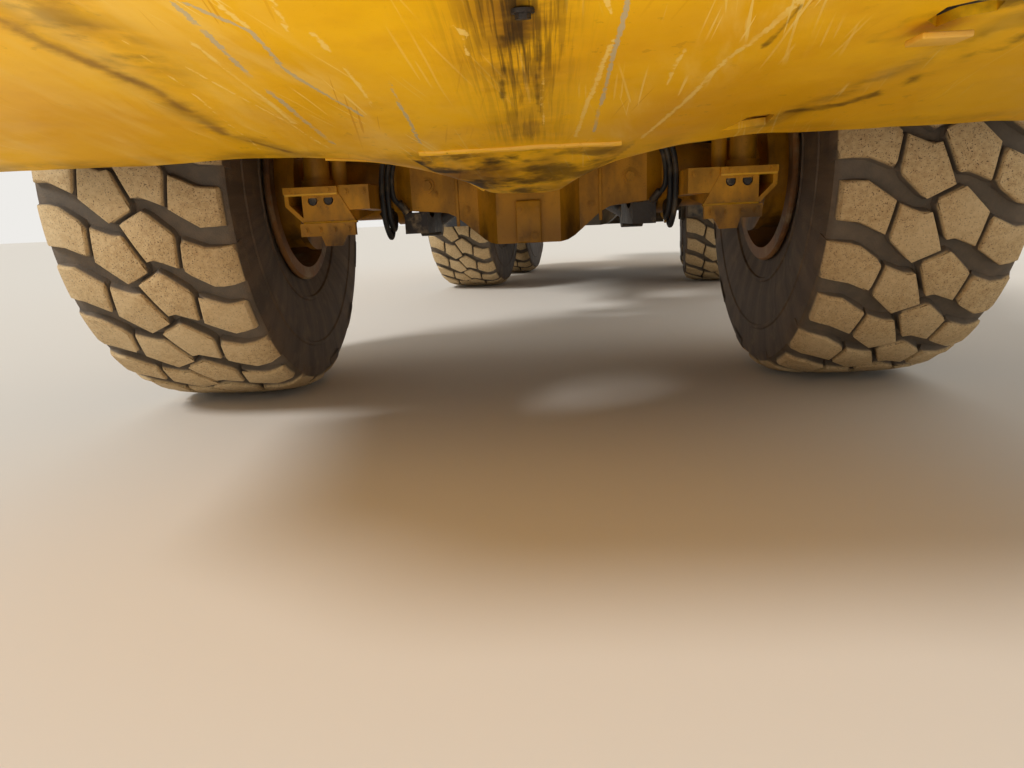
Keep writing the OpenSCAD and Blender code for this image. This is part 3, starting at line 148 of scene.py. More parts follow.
class TruckGuard(bpy.types.PropertyGroup):
    """Folded guard plate under the nose"""

    thick: length("Plate", "Thickness of the plate", 0.016)
    fold: length("Fold", "Half width of a rounded fold", 0.022)
    dent: length("Dents", "Depth of the dents", 0.004)
    bead: length("Weld bead", "Radius of the weld across the tip", 0.007)


class TruckTrim(bpy.types.PropertyGroup):
    """Small parts on the panels"""

    bolt: length("Bolt", "Across-corner radius of a bolt head", 0.016)
    hose: length("Hose", "Radius of a hydraulic hose", 0.016)
    weld: length("Weld", "Radius of a weld bead", 0.005)


class TruckStage(bpy.types.PropertyGroup):
    """Camera, floor and light"""

    side: length("Camera to the right", "From the middle of the front axle", 0.0466)
    back: length("Camera back", "Ahead of the front axle", 2.889)
    height: length("Camera height", "Above the floor", 0.656)
    heading: angle("Heading", "Turn of the camera to the right", -2.96)
    tilt: angle("Tilt", "Camera up from level", -13.24)
    roll: angle("Roll", "Turn about the line of sight", -2.61)
    lens: amount("Lens", "Focal length in millimetres on a 36 mm sensor", 24.5, 200)
    floor: colour("Floor", "Plain floor", 214, 208, 198)
    sky: amount("Room light", "Strength of the even light", 0.66, 5)
    sun: amount("Key light", "Strength of the soft key light", 2.0, 20)
    fill: amount("Fill light", "Watts of the low light under the guard", 14, 400)


LOOKS = {
    "paint": TruckPaint,
    "tyres": TruckTyres,
    "guard": TruckGuard,
    "trim": TruckTrim,
    "stage": TruckStage,
}


class TruckSettings(bpy.types.PropertyGroup):
    """All settings of the truck's dressing"""

    __annotations__ = {key: PointerProperty(type=group) for key, group in LOOKS.items()}


def settings():
    """The scene's settings of the truck."""
    return bpy.context.scene.truck

# Materials


def add_node(tree, kind, inputs=(), **options):
    """New node with its inputs linked or set."""
    node = tree.nodes.new(kind)
    for key, value in options.items():
        setattr(node, key, value)
    for key, value in dict(inputs).items():
        socket = node.inputs[key]
        if isinstance(value, bpy.types.NodeSocket):
            tree.links.new(value, socket)
        elif socket.type == "RGBA":
            socket.default_value = (*value, 1)
        else:
            socket.default_value = value
    return node


class Finish:
    """A material, with short calls for its nodes."""

    def __init__(self, name):
        self.material = bpy.data.materials.new(name)
        self.material.use_nodes = True
        self.tree = self.material.node_tree
        self.shader = self.tree.nodes["Principled BSDF"].inputs
        self.place = self.add("TexCoord", out="Object")

    def add(self, kind, inputs=(), out=0, **options):
        """Output of a new node."""
        return add_node(self.tree, "ShaderNode" + kind, inputs, **options).outputs[out]

    def set(self, values):
        """Sets plain values of the shader."""
        for label, value in values.items():
            self.shader[label].default_value = value

    def noise(self, scale, detail, stretch=(1, 1, 1), turn=0.0, shift=(0, 0, 0), of=None):
        """Noise whose features are stretched along axes turned about Z."""
        place = self.add("Mapping", {
            "Vector": of or self.place, "Location": shift, "Rotation": (0, 0, turn),
            "Scale": stretch}, vector_type="TEXTURE")
        return self.add("TexNoise", {
            "Vector": place, "Scale": scale, "Detail": detail, "Roughness": 0.6})

    def step(self, value, low, high):
        """0 at low, 1 at high, smooth between."""
        return self.add("MapRange", {"Value": value, "From Min": low, "From Max": high},
                        interpolation_type="SMOOTHSTEP")

    def patches(self, scale, detail, low, high, **how):
        """Patches of noise, 1 where it is above high."""
        return self.step(self.noise(scale, detail, **how), low, high)

    def sum(self, operation, a, b):
        return self.add("Math", {0: a, 1: b}, operation=operation)

    def times(self, a, b):
        return self.sum("MULTIPLY", a, b)

    def plus(self, a, b):
        return self.sum("ADD", a, b)

    def mix(self, factor, a, b):
        """Colour a where factor is 0, b where it is 1."""
        return self.add("Mix", {0: factor, 6: a, 7: b}, out=2, data_type="RGBA")

    def over(self, base, cover, *factors):
        """The base under a colour, as strong as the product of the factors."""
        return self.mix(reduce(self.times, factors), base, cover)

    def attribute(self, name):
        """Value stored on the piece's points."""
        return self.add("Attribute", out="Fac", attribute_name=name)

    def axis(self, index, of=None):
        """X, Y or Z of the place on the piece."""
        return self.add("SeparateXYZ", {0: of or self.place}, out=index)

    def paint(self, base):
        self.tree.links.new(base, self.shader["Base Color"])

    def gloss(self, value, share, least):
        """Roughness: least, and share more where the value is 1."""
        self.tree.links.new(self.plus(self.times(value, share), least), self.shader["Roughness"])

    def bump(self, height, distance):
        """Raises the surface by height times distance in metres."""
        out = self.add("Bump", {"Height": height, "Distance": distance})
        self.tree.links.new(out, self.shader["Normal"])


def worn_paint(f, base, deep, rusty=1.0, dusty=1.0):
    """Base colour of worn, dusty paint, with its gloss and waviness."""
    look = settings().paint
    base = f.over(base, deep, f.patches(1.6, 4, 0.35, 0.7), 0.6)
    base = f.over(base, deep, f.patches(9, 3, 0.5, 0.78, stretch=(1, 1, 14)), 0.35)
    low = f.step(f.axis(2), 2.2, 0.6)
    dust = f.plus(f.patches(5, 5, 0.42, 0.72, shift=(3, 1, 4)), f.times(low, 0.35))
    base = f.over(base, look.dust, dust, 0.3 * dusty)
    base = f.over(base, look.rust, f.patches(38, 3, 0.64, 0.68, shift=(5, 2, 0)),
                  f.patches(2.3, 1, 0.47, 0.62, shift=(0, 7, 0)), look.wear * rusty)
    base = f.over(base, deep, f.patches(160, 1, 0.66, 0.72), 0.5 * rusty)
    f.gloss(dust, 0.28, 0.34)
    f.bump(f.noise(2.6, 1), 0.006)
    return base


def yellow_paint(f):
    look = settings().paint
    f.paint(worn_paint(f, look.yellow, look.deep))


def dark_paint(f):
    f.paint(worn_paint(f, settings().paint.dark, screen(26, 25, 24), rusty=0.7, dusty=0.9))


def guard_paint(f):
    """Scraped paint of the guard: long scratches, rubbed folds, brushed grime and a dirty tip."""
    look = settings().paint
    f.set({"Specular IOR Level": 0.15})
    base = worn_paint(f, look.yellow, look.deep, rusty=0.35, dusty=0.1)
    fold, grime, soot = (f.attribute(name) for name in ("fold", "grime", "soot"))
    # Painted sheen: pale lengthwise streaks on the wing on the truck's right side, partly real
    # streaks of wear and partly a painted reflection of light off the ground
    sheen_wing = f.step(f.axis(0), AXLE.x + 0.1, AXLE.x - 0.7)
    pale_streaks_and_sheen = f.patches(9, 3, 0.45, 0.75, stretch=(1, 9, 1))
    base = f.over(base, look.pale, pale_streaks_and_sheen, sheen_wing, 0.45)
    rubbed = f.patches(16, 4, 0.42, 0.72, stretch=(1, 7, 1), turn=-0.2)
    base = f.over(base, look.pale, fold, rubbed, 0.5)
    near = f.plus(f.times(fold, 0.8), 0.3)
    parts = f.times(f.patches(3.4, 1, 0.44, 0.58, shift=(0, 0, 1)), near)
    for i, (turn, low, hue) in enumerate([
            (-0.22, 0.74, look.pale), (0.18, 0.75, look.deep), (-0.05, 0.755, look.pale)]):
        fine = f.patches(150, 0, low, low + 0.03, stretch=(1, 120, 8), turn=turn,
                         shift=(i * 3.1, i, 0))
        base = f.mix(f.sum("MINIMUM", f.times(fine, parts), 0.7), base, hue)
    blots = f.noise(10, 5, stretch=(1.4, 1, 1))
    base = f.over(base, look.rust, soot, f.step(blots, 0.3, 0.62), 0.75)
    for scale, low in ((90, 0.48), (170, 0.52)):
        streaks = f.patches(scale, 2, low, low + 0.1, stretch=(1, scale / 3, 8))
        base = f.over(base, look.grease, soot, streaks, 0.6)
    base = f.over(base, look.rust, grime, f.patches(6, 3, 0.36, 0.66, shift=(2, 2, 2)), 0.8)
    base = f.over(base, look.grease, grime, f.step(blots, 0.42, 0.6))
    coarse, fine = (f.times(f.noise(scale, 4), 1.2) for scale in (22, 65))
    parts = f.patches(7, 2, 0.3, 0.5, shift=(5, 0, 0))
    for tone, hue, strength, rough, low, high in (
            ("brown", look.rust, 0.6, coarse, 0.9, 1.7),
            ("dark", look.grease, 0.7, coarse, 0.9, 1.6),
            ("pale", look.pale, 0.75, fine, 1.2, 1.4),
            ("grey", look.scuff, 0.8, fine, 1.15, 1.3)):
        mark = f.step(f.plus(f.attribute(tone), rough), low, high)
        base = f.over(base, hue, mark, parts, strength)
    f.paint(base)


def shaded_axle_paint(f):
    """Paint under the truck: darker, with oily grime low down and in blots."""
    look = settings().paint
    f.set({"Specular IOR Level": 0.3})
    oily = f.times(f.patches(8, 4, 0.4, 0.66, stretch=(1, 1, 2)), 0.45)
    cover = f.plus(oily, f.times(f.step(f.axis(2), 0.74, 0.59), 0.5))
    # Deep yellow with umber in place of yellow with deep: painted shade on the parts under the
    # truck
    base = worn_paint(f, look.deep, look.shade_umber, dusty=0.3)
    f.paint(f.mix(f.sum("MINIMUM", cover, 0.85), base, look.grease))


def body_paint(f):
    """Paint of the dump body, worn to bare steel where the load slides."""
    look = settings().paint
    base = worn_paint(f, look.yellow, look.deep, rusty=1.2)
    up = f.axis(2, of=f.add("TexCoord", out="Normal"))
    scraped = f.patches(30, 5, 0.35, 0.65, stretch=(1, 12, 1), turn=REST_TURN)
    steel = f.over(f.mix(scraped, look.rust, look.steel), look.dust,
                   f.patches(6, 8, 0.4, 0.7, shift=(4, 4, 4)), 0.7)
    f.paint(f.over(base, steel, f.step(up, 0.15, 0.3), f.patches(3, 7, 0.28, 0.42), 0.9))


def cast_steel(f):
    """Greasy, dusty castings and arms."""
    look = settings().paint
    base = f.mix(f.patches(7, 6, 0.4, 0.65), look.grease, screen(58, 48, 38))
    f.paint(f.over(base, look.dust, f.patches(18, 8, 0.52, 0.75, shift=(1, 5, 2)), 0.6))
    f.gloss(f.noise(9, 3), 0.5, 0.25)
    f.bump(f.noise(60, 5), 0.002)


def bright_steel(f):
    f.set({"Metallic": 1.0})
    f.paint(f.mix(f.patches(25, 4, 0.5, 0.8), screen(196, 196, 192), screen(140, 136, 128)))
    f.gloss(f.noise(30, 3, stretch=(1, 6, 1)), 0.2, 0.1)


def tyre_rubber(f):
    """Dusty block tops, darker grooves and streaky sidewalls, from the tyre's own attributes."""
    look = settings().tyres
    side = f.attribute("side")
    tread = f.mix(f.patches(70, 4, 0.35, 0.68), look.tread, screen(184, 153, 108))
    tread = f.over(tread, screen(96, 74, 50), f.patches(240, 1, 0.6, 0.7))
    tread = f.over(tread, screen(216, 192, 150), f.patches(3, 3, 0.4, 0.7), 0.5)
    groove = f.mix(f.patches(22, 5, 0.35, 0.7), look.groove, screen(112, 98, 82))
    smears = f.patches(5, 4, 0.36, 0.66, stretch=(0.5, 4, 1), of=f.add("UVMap"))
    wall = f.mix(smears, look.wall, screen(74, 62, 50))
    wall = f.over(wall, screen(128, 106, 78), f.patches(14, 5, 0.5, 0.78), 0.55)
    base = f.mix(f.step(f.attribute("top"), 0.45, 0.8), groove, tread)
    f.paint(f.mix(side, base, wall))
    f.gloss(side, -0.2, 0.9)
    f.bump(f.noise(180, 2), 0.0016)


def rim_paint(f):
    """Rims: rust-brown inside, dusty and chipped."""
    look = settings().paint
    base = f.mix(f.patches(6, 5, 0.38, 0.66), screen(142, 96, 46), screen(84, 54, 32))
    base = f.over(base, look.dust, f.patches(12, 8, 0.45, 0.75), 0.6)
    f.paint(f.over(base, look.grease, f.patches(3, 3, 0.55, 0.7), 0.5))
    f.gloss(f.noise(12, 4), 0.3, 0.45)
    f.bump(f.noise(90, 4), 0.0015)


def clear_glass(f):
    f.set({"Transmission Weight": 0.9, "IOR": 1.45})
    film = f.patches(4, 6, 0.45, 0.8)
    f.paint(f.over(screen(186, 204, 198), settings().paint.dust, film, 0.35))
    f.gloss(film, 0.25, 0.03)


def black_plastic(f):
    dusty = f.patches(8, 8, 0.45, 0.75)
    f.paint(f.over(screen(30, 30, 31), settings().paint.dust, dusty, 0.35))
    f.gloss(f.noise(10, 4), 0.25, 0.45)
    f.bump(f.noise(400, 2), 0.0006)


FINISH_MAKERS = {maker.__name__: maker for maker in (
    yellow_paint, dark_paint, guard_paint, shaded_axle_paint, body_paint, cast_steel, bright_steel,
    tyre_rubber, rim_paint, clear_glass, black_plastic,
)}
# Patches as scale, detail, low, high and stretch along Z; two colours; values of the shader;
# ripples as scale, detail, stretch along Z and distance
PLAIN_FINISHES = {
    "seat_cloth": ((300, 2, 0.4, 0.6, 1), (52, 52, 56), (34, 34, 38), {"Roughness": 0.95},
                   (500, 2, 1, 0.0008)),
    "mirror_glass": ((5, 5, 0.4, 0.8, 1), (222, 226, 226), (196, 192, 182),
                     {"Roughness": 0.03, "Metallic": 1.0}),
    "amber_lens": ((40, 2, 0.4, 0.6, 6), (232, 120, 14), (190, 84, 8),
                   {"Roughness": 0.15, "Coat Weight": 0.5}),
    "lamp_lens": ((60, 2, 0.45, 0.6, 6), (214, 216, 214), (168, 172, 172),
                  {"Roughness": 0.12, "Coat Weight": 0.6}, (120, 1, 8, 0.001)),
    "red_lens": ((30, 3, 0.4, 0.7, 1), (150, 16, 12), (104, 10, 8),
                 {"Roughness": 0.2, "Coat Weight": 0.5}, (150, 1, 1, 0.001)),
}


def plain_finish(f, patches, one, other, values, ripples=None):
    """Finish of two colours in patches."""
    f.set(values)
    *patches, tall = patches
    f.paint(f.mix(f.patches(*patches, stretch=(1, 1, tall)), screen(*one), screen(*other)))
    if ripples:
        scale, detail, tall, distance = ripples
        f.bump(f.noise(scale, detail, stretch=(1, 1, tall)), distance)


@cache
def finish(name):
    """The named finish's material, made when first asked for."""
    f = Finish(name)
    if name in PLAIN_FINISHES:
        plain_finish(f, *PLAIN_FINISHES[name])
    else:
        FINISH_MAKERS[name](f)
    return f.material


# Geometry Nodes


def node_tree(name, **sockets):
    """Geometry tree with named inputs, their values, and calls that add nodes and end it."""
    tree = bpy.data.node_groups.new(name, "GeometryNodeTree")
    for label, kind in {"Geometry": "Geometry", **sockets, "Material": "Material"}.items():
        tree.interface.new_socket(label, in_out="INPUT", socket_type="NodeSocket" + kind)
    tree.interface.new_socket("Geometry", in_out="OUTPUT", socket_type="NodeSocketGeometry")
    given = tree.nodes.new("NodeGroupInput").outputs

    def add(kind, inputs=(), **options):
        """Output of a new node; plain kinds are geometry nodes."""
        kind = kind if "Node" in kind else "GeometryNode" + kind
        return add_node(tree, kind, inputs, **options).outputs[0]

    def end(geometry):
        """Finished tree, with plain geometry and the material."""
        made = add("GeometryNodeRealizeInstances", {0: geometry})
        made = add("GeometryNodeSetMaterial", {"Geometry": made, "Material": given["Material"]})
        tree.links.new(made, tree.nodes.new("NodeGroupOutput").inputs[0])
        return tree

    return tree, given, add, end


@cache
def ring_tree():
    """The piece's mesh repeated round the X axis, with its seams merged."""
    tree, given, add, end = node_tree("Repeat round the axle", Count="Int")
    turn = add("ShaderNodeMath", {0: math.tau, 1: given["Count"]}, operation="DIVIDE")
    angle = add("ShaderNodeMath", {0: add("InputIndex"), 1: turn}, operation="MULTIPLY")
    turned = add("FunctionNodeEulerToRotation", {0: add("ShaderNodeCombineXYZ", {"X": angle})})
    copies = add("InstanceOnPoints", {
        "Points": add("Points", {"Count": given["Count"]}),
        "Instance": given["Geometry"], "Rotation": turned,
    })
    made = add("RealizeInstances", {0: copies})
    return end(add("MergeByDistance", {"Geometry": made, "Distance": 0.0002}))


@cache
def bolt_tree():
    """A hexagon head on a washer at each point, along the point's own direction."""
    tree, given, add, end = node_tree("Bolt heads", Radius="Float")
    along = add("InputNamedAttribute", {"Name": "along"}, data_type="FLOAT_VECTOR")
    turned = add("FunctionNodeAlignRotationToVector", {"Vector": along}, axis="Z")
    high, wide, thin = (
        add("ShaderNodeMath", {0: given["Radius"], 1: share}, operation="MULTIPLY")
        for share in (0.8, 1.45, 0.5))
    head = add("MeshCylinder", {"Vertices": 6, "Radius": given["Radius"], "Depth": high})
    up = add("ShaderNodeCombineXYZ", {"Z": thin})
    lifted = add("Transform", {"Geometry": head, "Translation": up})
    washer = add("MeshCylinder", {"Vertices": 16, "Radius": wide, "Depth": thin})
    both_parts = tree.nodes.new("GeometryNodeJoinGeometry")
    for part in (lifted, washer):
        tree.links.new(part, both_parts.inputs[0])
    return end(add("InstanceOnPoints", {
        "Points": given["Geometry"], "Instance": both_parts.outputs[0], "Rotation": turned,
    }))


@cache
def tube_tree():
    """Round tube along each line of the piece, with uneven sides for a weld."""
    tree, given, add, end = node_tree("Tube along a line", Radius="Float", Sides="Int",
                                      Lumps="Float")
    line = add("MeshToCurve", {"Mesh": given["Geometry"]})
    ring = add("CurvePrimitiveCircle", {"Resolution": given["Sides"], "Radius": given["Radius"]})
    tube = add("CurveToMesh", {"Curve": line, "Profile Curve": ring, "Fill Caps": True})
    lump = add("ShaderNodeTexNoise", {"Scale": 160.0, "Detail": 1.0})
    size = add("ShaderNodeMath", {0: lump, 1: given["Lumps"]}, operation="MULTIPLY")
    shift = add("ShaderNodeVectorMath", {0: add("InputNormal"), "Scale": size},
                operation="SCALE")
    made = add("SetPosition", {"Geometry": tube, "Offset": shift})
    return end(add("SetShadeSmooth", {"Geometry": made}))


@cache
def row_tree():
    """The piece's mesh repeated along a straight line."""
    tree, given, add, end = node_tree("Repeat along a line", Count="Int", Step="Vector")
    points = add("MeshLine", {"Count": given["Count"], "Offset": given["Step"]})
    return end(add("InstanceOnPoints", {"Points": points, "Instance": given["Geometry"]}))


# Mesh calls


def placed(name, data):
    """Object in the scene."""
    obj = bpy.data.objects.new(name, data)
    bpy.context.scene.collection.objects.link(obj)
    return obj


def evaluated(*objects):
    """Plain mesh of the first object with its modifiers; all the objects are removed."""
    graph = bpy.context.evaluated_depsgraph_get()
    made = bpy.data.meshes.new_from_object(objects[0].evaluated_get(graph), depsgraph=graph)
    for obj in objects:
        bpy.data.objects.remove(obj)
    return made


def grown(mesh, tree, look, **inputs):
    """The plain mesh that a tree makes from a mesh."""
    carrier = placed("carrier", mesh)
    modifier = carrier.modifiers.new("grow", "NODES")
    modifier.node_group = tree
    inputs["Material"] = finish(look)
    for item in tree.interface.items_tree:
        if item.in_out == "INPUT" and item.name in inputs:
            modifier[item.identifier] = inputs[item.name]
    return evaluated(carrier)


def new_mesh(name, points, faces=(), edges=()):
    """Mesh from plain lists."""
    mesh = bpy.data.meshes.new(name)
    mesh.from_pydata([tuple(p) for p in points], list(edges), list(faces))
    mesh.update()
    return mesh


def written(bm, mesh=None):
    """The mesh, or a new one, with the bmesh's shape."""
    mesh = mesh or bpy.data.meshes.new("made")
    bm.to_mesh(mesh)
    bm.free()
    return mesh


def joined(meshes):
    """One mesh of several, each already in place."""
    bm = bmesh.new()
    for mesh in meshes:
        bm.from_mesh(mesh)
    return written(bm)


def outward(mesh):
    """The same mesh with all faces pointing out."""
    bm = bmesh.new()
    bm.from_mesh(mesh)
    bmesh.ops.recalc_face_normals(bm, faces=bm.faces)
    return written(bm, mesh)


def slab(low, high, edge=0.004):
    """Box between two corners with softened edges."""
    bm = bmesh.new()
    bmesh.ops.create_cube(bm, size=1)
    low, high = Vector(low), Vector(high)
    bmesh.ops.transform(bm, verts=bm.verts, matrix=Matrix.Translation((low + high) / 2)
                        @ Matrix.Diagonal((*(high - low), 1)))
    bmesh.ops.bevel(bm, geom=bm.edges[:], offset=edge, segments=3, profile=0.5, affect="EDGES")
    return written(bm)


def drum(centre, radius, depth, along=UP, edge=0.003, sides=32):
    """Round bar about its centre with softened rims."""
    bm = bmesh.new()
    bmesh.ops.create_cone(bm, cap_ends=True, segments=sides, radius1=radius, radius2=radius,
                          depth=depth)
    rims = [e for e in bm.edges if abs(e.verts[0].co.z - e.verts[1].co.z) < 1e-6]
    bmesh.ops.bevel(bm, geom=rims, offset=edge, segments=2, profile=0.5, affect="EDGES")
    turn = Vector(along).to_track_quat("Z", "Y").to_matrix().to_4x4()
    bmesh.ops.transform(bm, verts=bm.verts, matrix=Matrix.Translation(centre) @ turn)
    return written(bm)


def cut(mesh, outlines, low, high):
    """The mesh with a hole through it for each outline of (x, y) places."""
    tools = []
    for outline in outlines:
        n = len(outline)
        points = [(x, y, z) for z in (low, high) for x, y in outline]
        faces = [tuple(range(n)), tuple(range(n, 2 * n))]
        faces += [(i, (i + 1) % n, (i + 1) % n + n, i + n) for i in range(n)]
        tools.append(outward(new_mesh("tool", points, faces)))
    whole, tool = placed("carrier", mesh), placed("tool", joined(tools))
    modifier = whole.modifiers.new("cut", "BOOLEAN")
    modifier.object, modifier.operation, modifier.solver = tool, "DIFFERENCE", "EXACT"
    return evaluated(whole, tool)


def row(mesh, count, step, look):
    """Copies of a mesh along a line."""
    return grown(mesh, row_tree(), look, Count=count, Step=step)


def both(mesh):
    """The mesh and its mirror image across the middle."""
    other = mesh.copy()
    other.transform(Matrix.Diagonal((-1, 1, 1, 1)))
    other.flip_normals()
    return joined([mesh, other])


def set_values(mesh, name, values):
    """Stores a number on each point."""
    mesh.attributes.new(name, "FLOAT", "POINT").data.foreach_set("value", values)


def smooth_line(points, steps=8):
    """Points of a round curve through the given ones."""
    p = [Vector(q) for q in points]
    p = [2 * p[0] - p[1], *p, 2 * p[-1] - p[-2]]
    made = []
    for a, b, c, d in zip(p, p[1:], p[2:], p[3:]):
        for i in range(steps):
            t = i / steps
            made.append(0.5 * (2 * b + (c - a) * t + (2 * a - 5 * b + 4 * c - d) * t ** 2
                               + (3 * b - a - 3 * c + d) * t ** 3))
    return made + [p[-2]]


def straight(start, end, count):
    """Points along a straight line."""
    return [Vector(start).lerp(Vector(end), i / (count - 1)) for i in range(count)]


def circle(a, b, radius, count=32, start=0.0, closed=False):
    """Places round a point of a plane."""
    turns = [math.tau * (i + start) / count for i in range(count + closed)]
    return [(a + radius * math.cos(t), b + radius * math.sin(t)) for t in turns]


def tubes(lines, radius, look, sides=10, lumps=0.0):
    """Mesh of round tubes along several lines of points."""
    points, edges = [], []
    for line in lines:
        edges += [(len(points) + i, len(points) + i + 1) for i in range(len(line) - 1)]
        points += line
    return grown(new_mesh("lines", points, edges=edges), tube_tree(), look,
                 Radius=radius, Sides=sides, Lumps=lumps)


def bolts(places, size, look="cast_steel"):
    """Mesh of bolt heads at (point, direction) places, size times a trim bolt."""
    mesh = new_mesh("places", [p for p, _ in places])
    along = mesh.attributes.new("along", "FLOAT_VECTOR", "POINT")
    along.data.foreach_set("vector", [c for _, d in places for c in d])
    return grown(mesh, bolt_tree(), look, Radius=settings().trim.bolt * size)


def bolt_rows(heads, mirrored, look="cast_steel"):
    """Bolt meshes of (place, direction, size) heads, each size in one go."""
    made = []
    for size in sorted({head[2] for head in heads}):
        places = [(Vector(p), Vector(d)) for p, d, one in heads if one == size]
        if mirrored:
            places += [(Vector((-p.x, p.y, p.z)), Vector((-d.x, d.y, d.z))) for p, d in places]
        made.append(bolts(places, size, look))
    return made


# Pieces


def piece(name, mesh, body, look, replaces=(), smooth=35):
    """Finished object at the origin that rides on a body."""
    obj = placed(name, mesh)
    mesh.materials.clear()
    mesh.materials.append(finish(look))
    mesh.shade_smooth()
    mesh.set_sharp_from_angle(angle=math.radians(smooth))
    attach(obj, body)
    if replaces:
        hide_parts(*replaces)


def fitted(name, meshes, look="cast_steel", body="tractor", mirrored=False):
    """Piece made of meshes in the tractor's or the load unit's own axes."""
    mesh = joined(meshes)
    if mirrored:
        mesh = both(mesh)
    mesh.transform(TRACTOR if body in ("tractor", "hood", "cab_door") else LOAD)
    piece(name, mesh, body, look)


def bolt_piece(name, heads, look="cast_steel", body="tractor", mirrored=True):
    """Piece made of bolt heads."""
    fitted(name, bolt_rows(heads, mirrored, look), look, body)


def line_piece(name, lines, radius, look="black_plastic", body="tractor", mirrored=True, sides=8,
               lumps=0.0):
    """Piece made of round tubes."""
    fitted(name, [tubes(lines, radius, look, sides, lumps)], look, body, mirrored)


def at_wheel(name, mesh, wheel, look, spin=0.0, **how):
    """Piece made of a copy of a mesh about the axle, spun and put at a wheel."""
    turn = 0.0 if wheel.startswith("front") else REST_TURN
    if wheel.endswith("right"):
        turn += math.pi
    mesh = mesh.copy()
    mesh.transform(Matrix.Translation(middle("tyre_" + wheel)) @ Matrix.Rotation(turn, 4, "Z")
                   @ Matrix.Rotation(math.radians(spin), 4, "X"))
    piece(name + wheel, mesh, "wheel_" + wheel, look, **how)


# Tyres: two rows of blocks are made, and the rest repeats them

# Block outlines: metres across the tread, degrees round it
INNER_BLOCK = [(-0.12, 4.9), (-0.055, 2.8), (-0.029, 3.2), (0.024, -5.4), (-0.053, -8.2),
               (-0.134, -2.6)]
SHOULDER_BLOCKS = [
    [(-0.283, 10), (-0.218, 10), (-0.134, 5.7), (-0.149, -1.5), (-0.226, 1.3), (-0.283, 1.5)],
    [(-0.297, 10.4), (-0.218, 10.2), (-0.134, 5.7), (-0.149, -1.5), (-0.226, 1), (-0.297, 0.8)],
]
BLOCK_STEP = 0.03  # longest edge of a block's sides
# Places across the tread or its half width, with how far they lie inside the tyre's radius
TREAD_DROP = [(0, 0), (0.15, 0.003), (0.23, 0.012), (0.275, 0.028), (0.297, 0.052)]
WALL = [(0.299, 0.085), (0.3, 0.12), (0.3, 0.18), (0.304, 0.185), (0.304, 0.195), (0.299, 0.2),
        (0.298, 0.26), (0.29, 0.32), (0.28, 0.366), (0.285, 0.371), (0.282, 0.383), (0.274, 0.386),
        (0.262, 0.43), (0.252, 0.468), (0.25, 0.481)]
GROOVE = [(0, 1), (0.2, 0.95), (0.26, 0.7), (0.3, 0.35)]  # share of the full depth
TREAD_EDGE, TREAD_DEEP = 0.2965, 0.086  # where the sidewall's finish starts
LUG_TURN = {"front_left": 74.2, "front_right": 75.4}  # degrees, as the tyres stand in the photo
REAR_LUG_TURN = 78.2


def along_table(table, value):
    """Straight-line reading of a table of (place, height) rows."""
    return float(np.interp(value, *zip(*table)))


def tread_point(across, degrees, depth):
    """Point of the tread about the axle; degrees run up the front from the ground."""
    r = TYRE_R - along_table(TREAD_DROP, abs(across)) - depth
    a = math.radians(degrees)
    return Vector((across, -r * math.sin(a), -r * math.cos(a)))


def block_sides(outline, inset):
    """The outline in metres on the tread, moved inwards by inset."""
    flat = [Vector((v, math.radians(a) * TYRE_R)) for v, a in outline]
    moved = []
    for last, here, following in zip(flat[-1:] + flat, flat, flat[1:] + flat[:1]):
        before, after = (here - last).normalized(), (following - here).normalized()
        inwards = Vector((before.y + after.y, -before.x - after.x)).normalized()
        reach = inset / max(0.3, inwards.dot(Vector((before.y, -before.x))))
        moved.append(here + inwards * reach)
    return moved


def resampled(ring, count):
    """The ring's points spread to another count."""
    n = len(ring)
    places = [k * n / count for k in range(count)]
    return [ring[int(t)].lerp(ring[(int(t) + 1) % n], t - int(t)) for t in places]


def add_block(bm, outline, centre, edge, depth):
    """Tread block: top, worn edge and leaning walls down into the groove."""
    rings = []
    for inset, down in ((edge, 0), (edge * 0.3, edge * 0.35), (0, edge), (-0.004, depth * 0.55),
                        (-0.008, depth + 0.006)):
        ring, flat = [], block_sides(outline, inset)
        for a, b in zip(flat, flat[1:] + flat[:1]):
            parts = max(1, round((b - a).length / BLOCK_STEP))
            ring += [a.lerp(b, k / parts) for k in range(parts)]
        rings.append((ring, down))
    count = min(len(ring) for ring, _ in rings)
    rows = [[bm.verts.new(tread_point(p.x, math.degrees(p.y / TYRE_R) + centre, down))
             for p in resampled(ring, count)] for ring, down in rings]
    for upper, lower in zip(rows, rows[1:]):
        for i in range(count):
            j = (i + 1) % count
            bm.faces.new((upper[i], upper[j], lower[j], lower[i]))
    bm.faces.new(rows[0])


def casing_profile(depth):
    """Half of the casing from the bead up to the middle of the groove's floor."""
    return WALL[::-1] + [(v, along_table(TREAD_DROP, v) + along_table(GROOVE, v) * depth)
                         for v in (0.297, 0.28, 0.26, 0.23, 0.18, 0.12, 0.06, 0)]


def tyre_sector():
    """Mesh of one pair of rows with its share of casing."""
    look = settings().tyres
    pitch = 180 / look.pairs
    bm = bmesh.new()
    for i, shoulder in enumerate(SHOULDER_BLOCKS):
        for outline in (INNER_BLOCK, shoulder):
            for way in (1, -1):
                turned = [(way * v, way * a) for v, a in outline]
                add_block(bm, turned, i * pitch, look.edge, look.depth)
    half = casing_profile(look.depth)
    profile = [(-v, d) for v, d in half] + half[::-1]
    steps = 10
    grid = []
    for k in range(steps + 1):
        a = math.radians(-pitch / 2 + 2 * pitch * k / steps)
        grid.append([bm.verts.new((v, -(TYRE_R - d) * math.sin(a), -(TYRE_R - d) * math.cos(a)))
                     for v, d in profile])
    for one, two in zip(grid, grid[1:]):
        for i in range(len(profile) - 1):
            bm.faces.new((one[i], one[i + 1], two[i + 1], two[i]))
    bmesh.ops.triangulate(bm, faces=[f for f in bm.faces if len(f.verts) > 4])
    return written(bm)


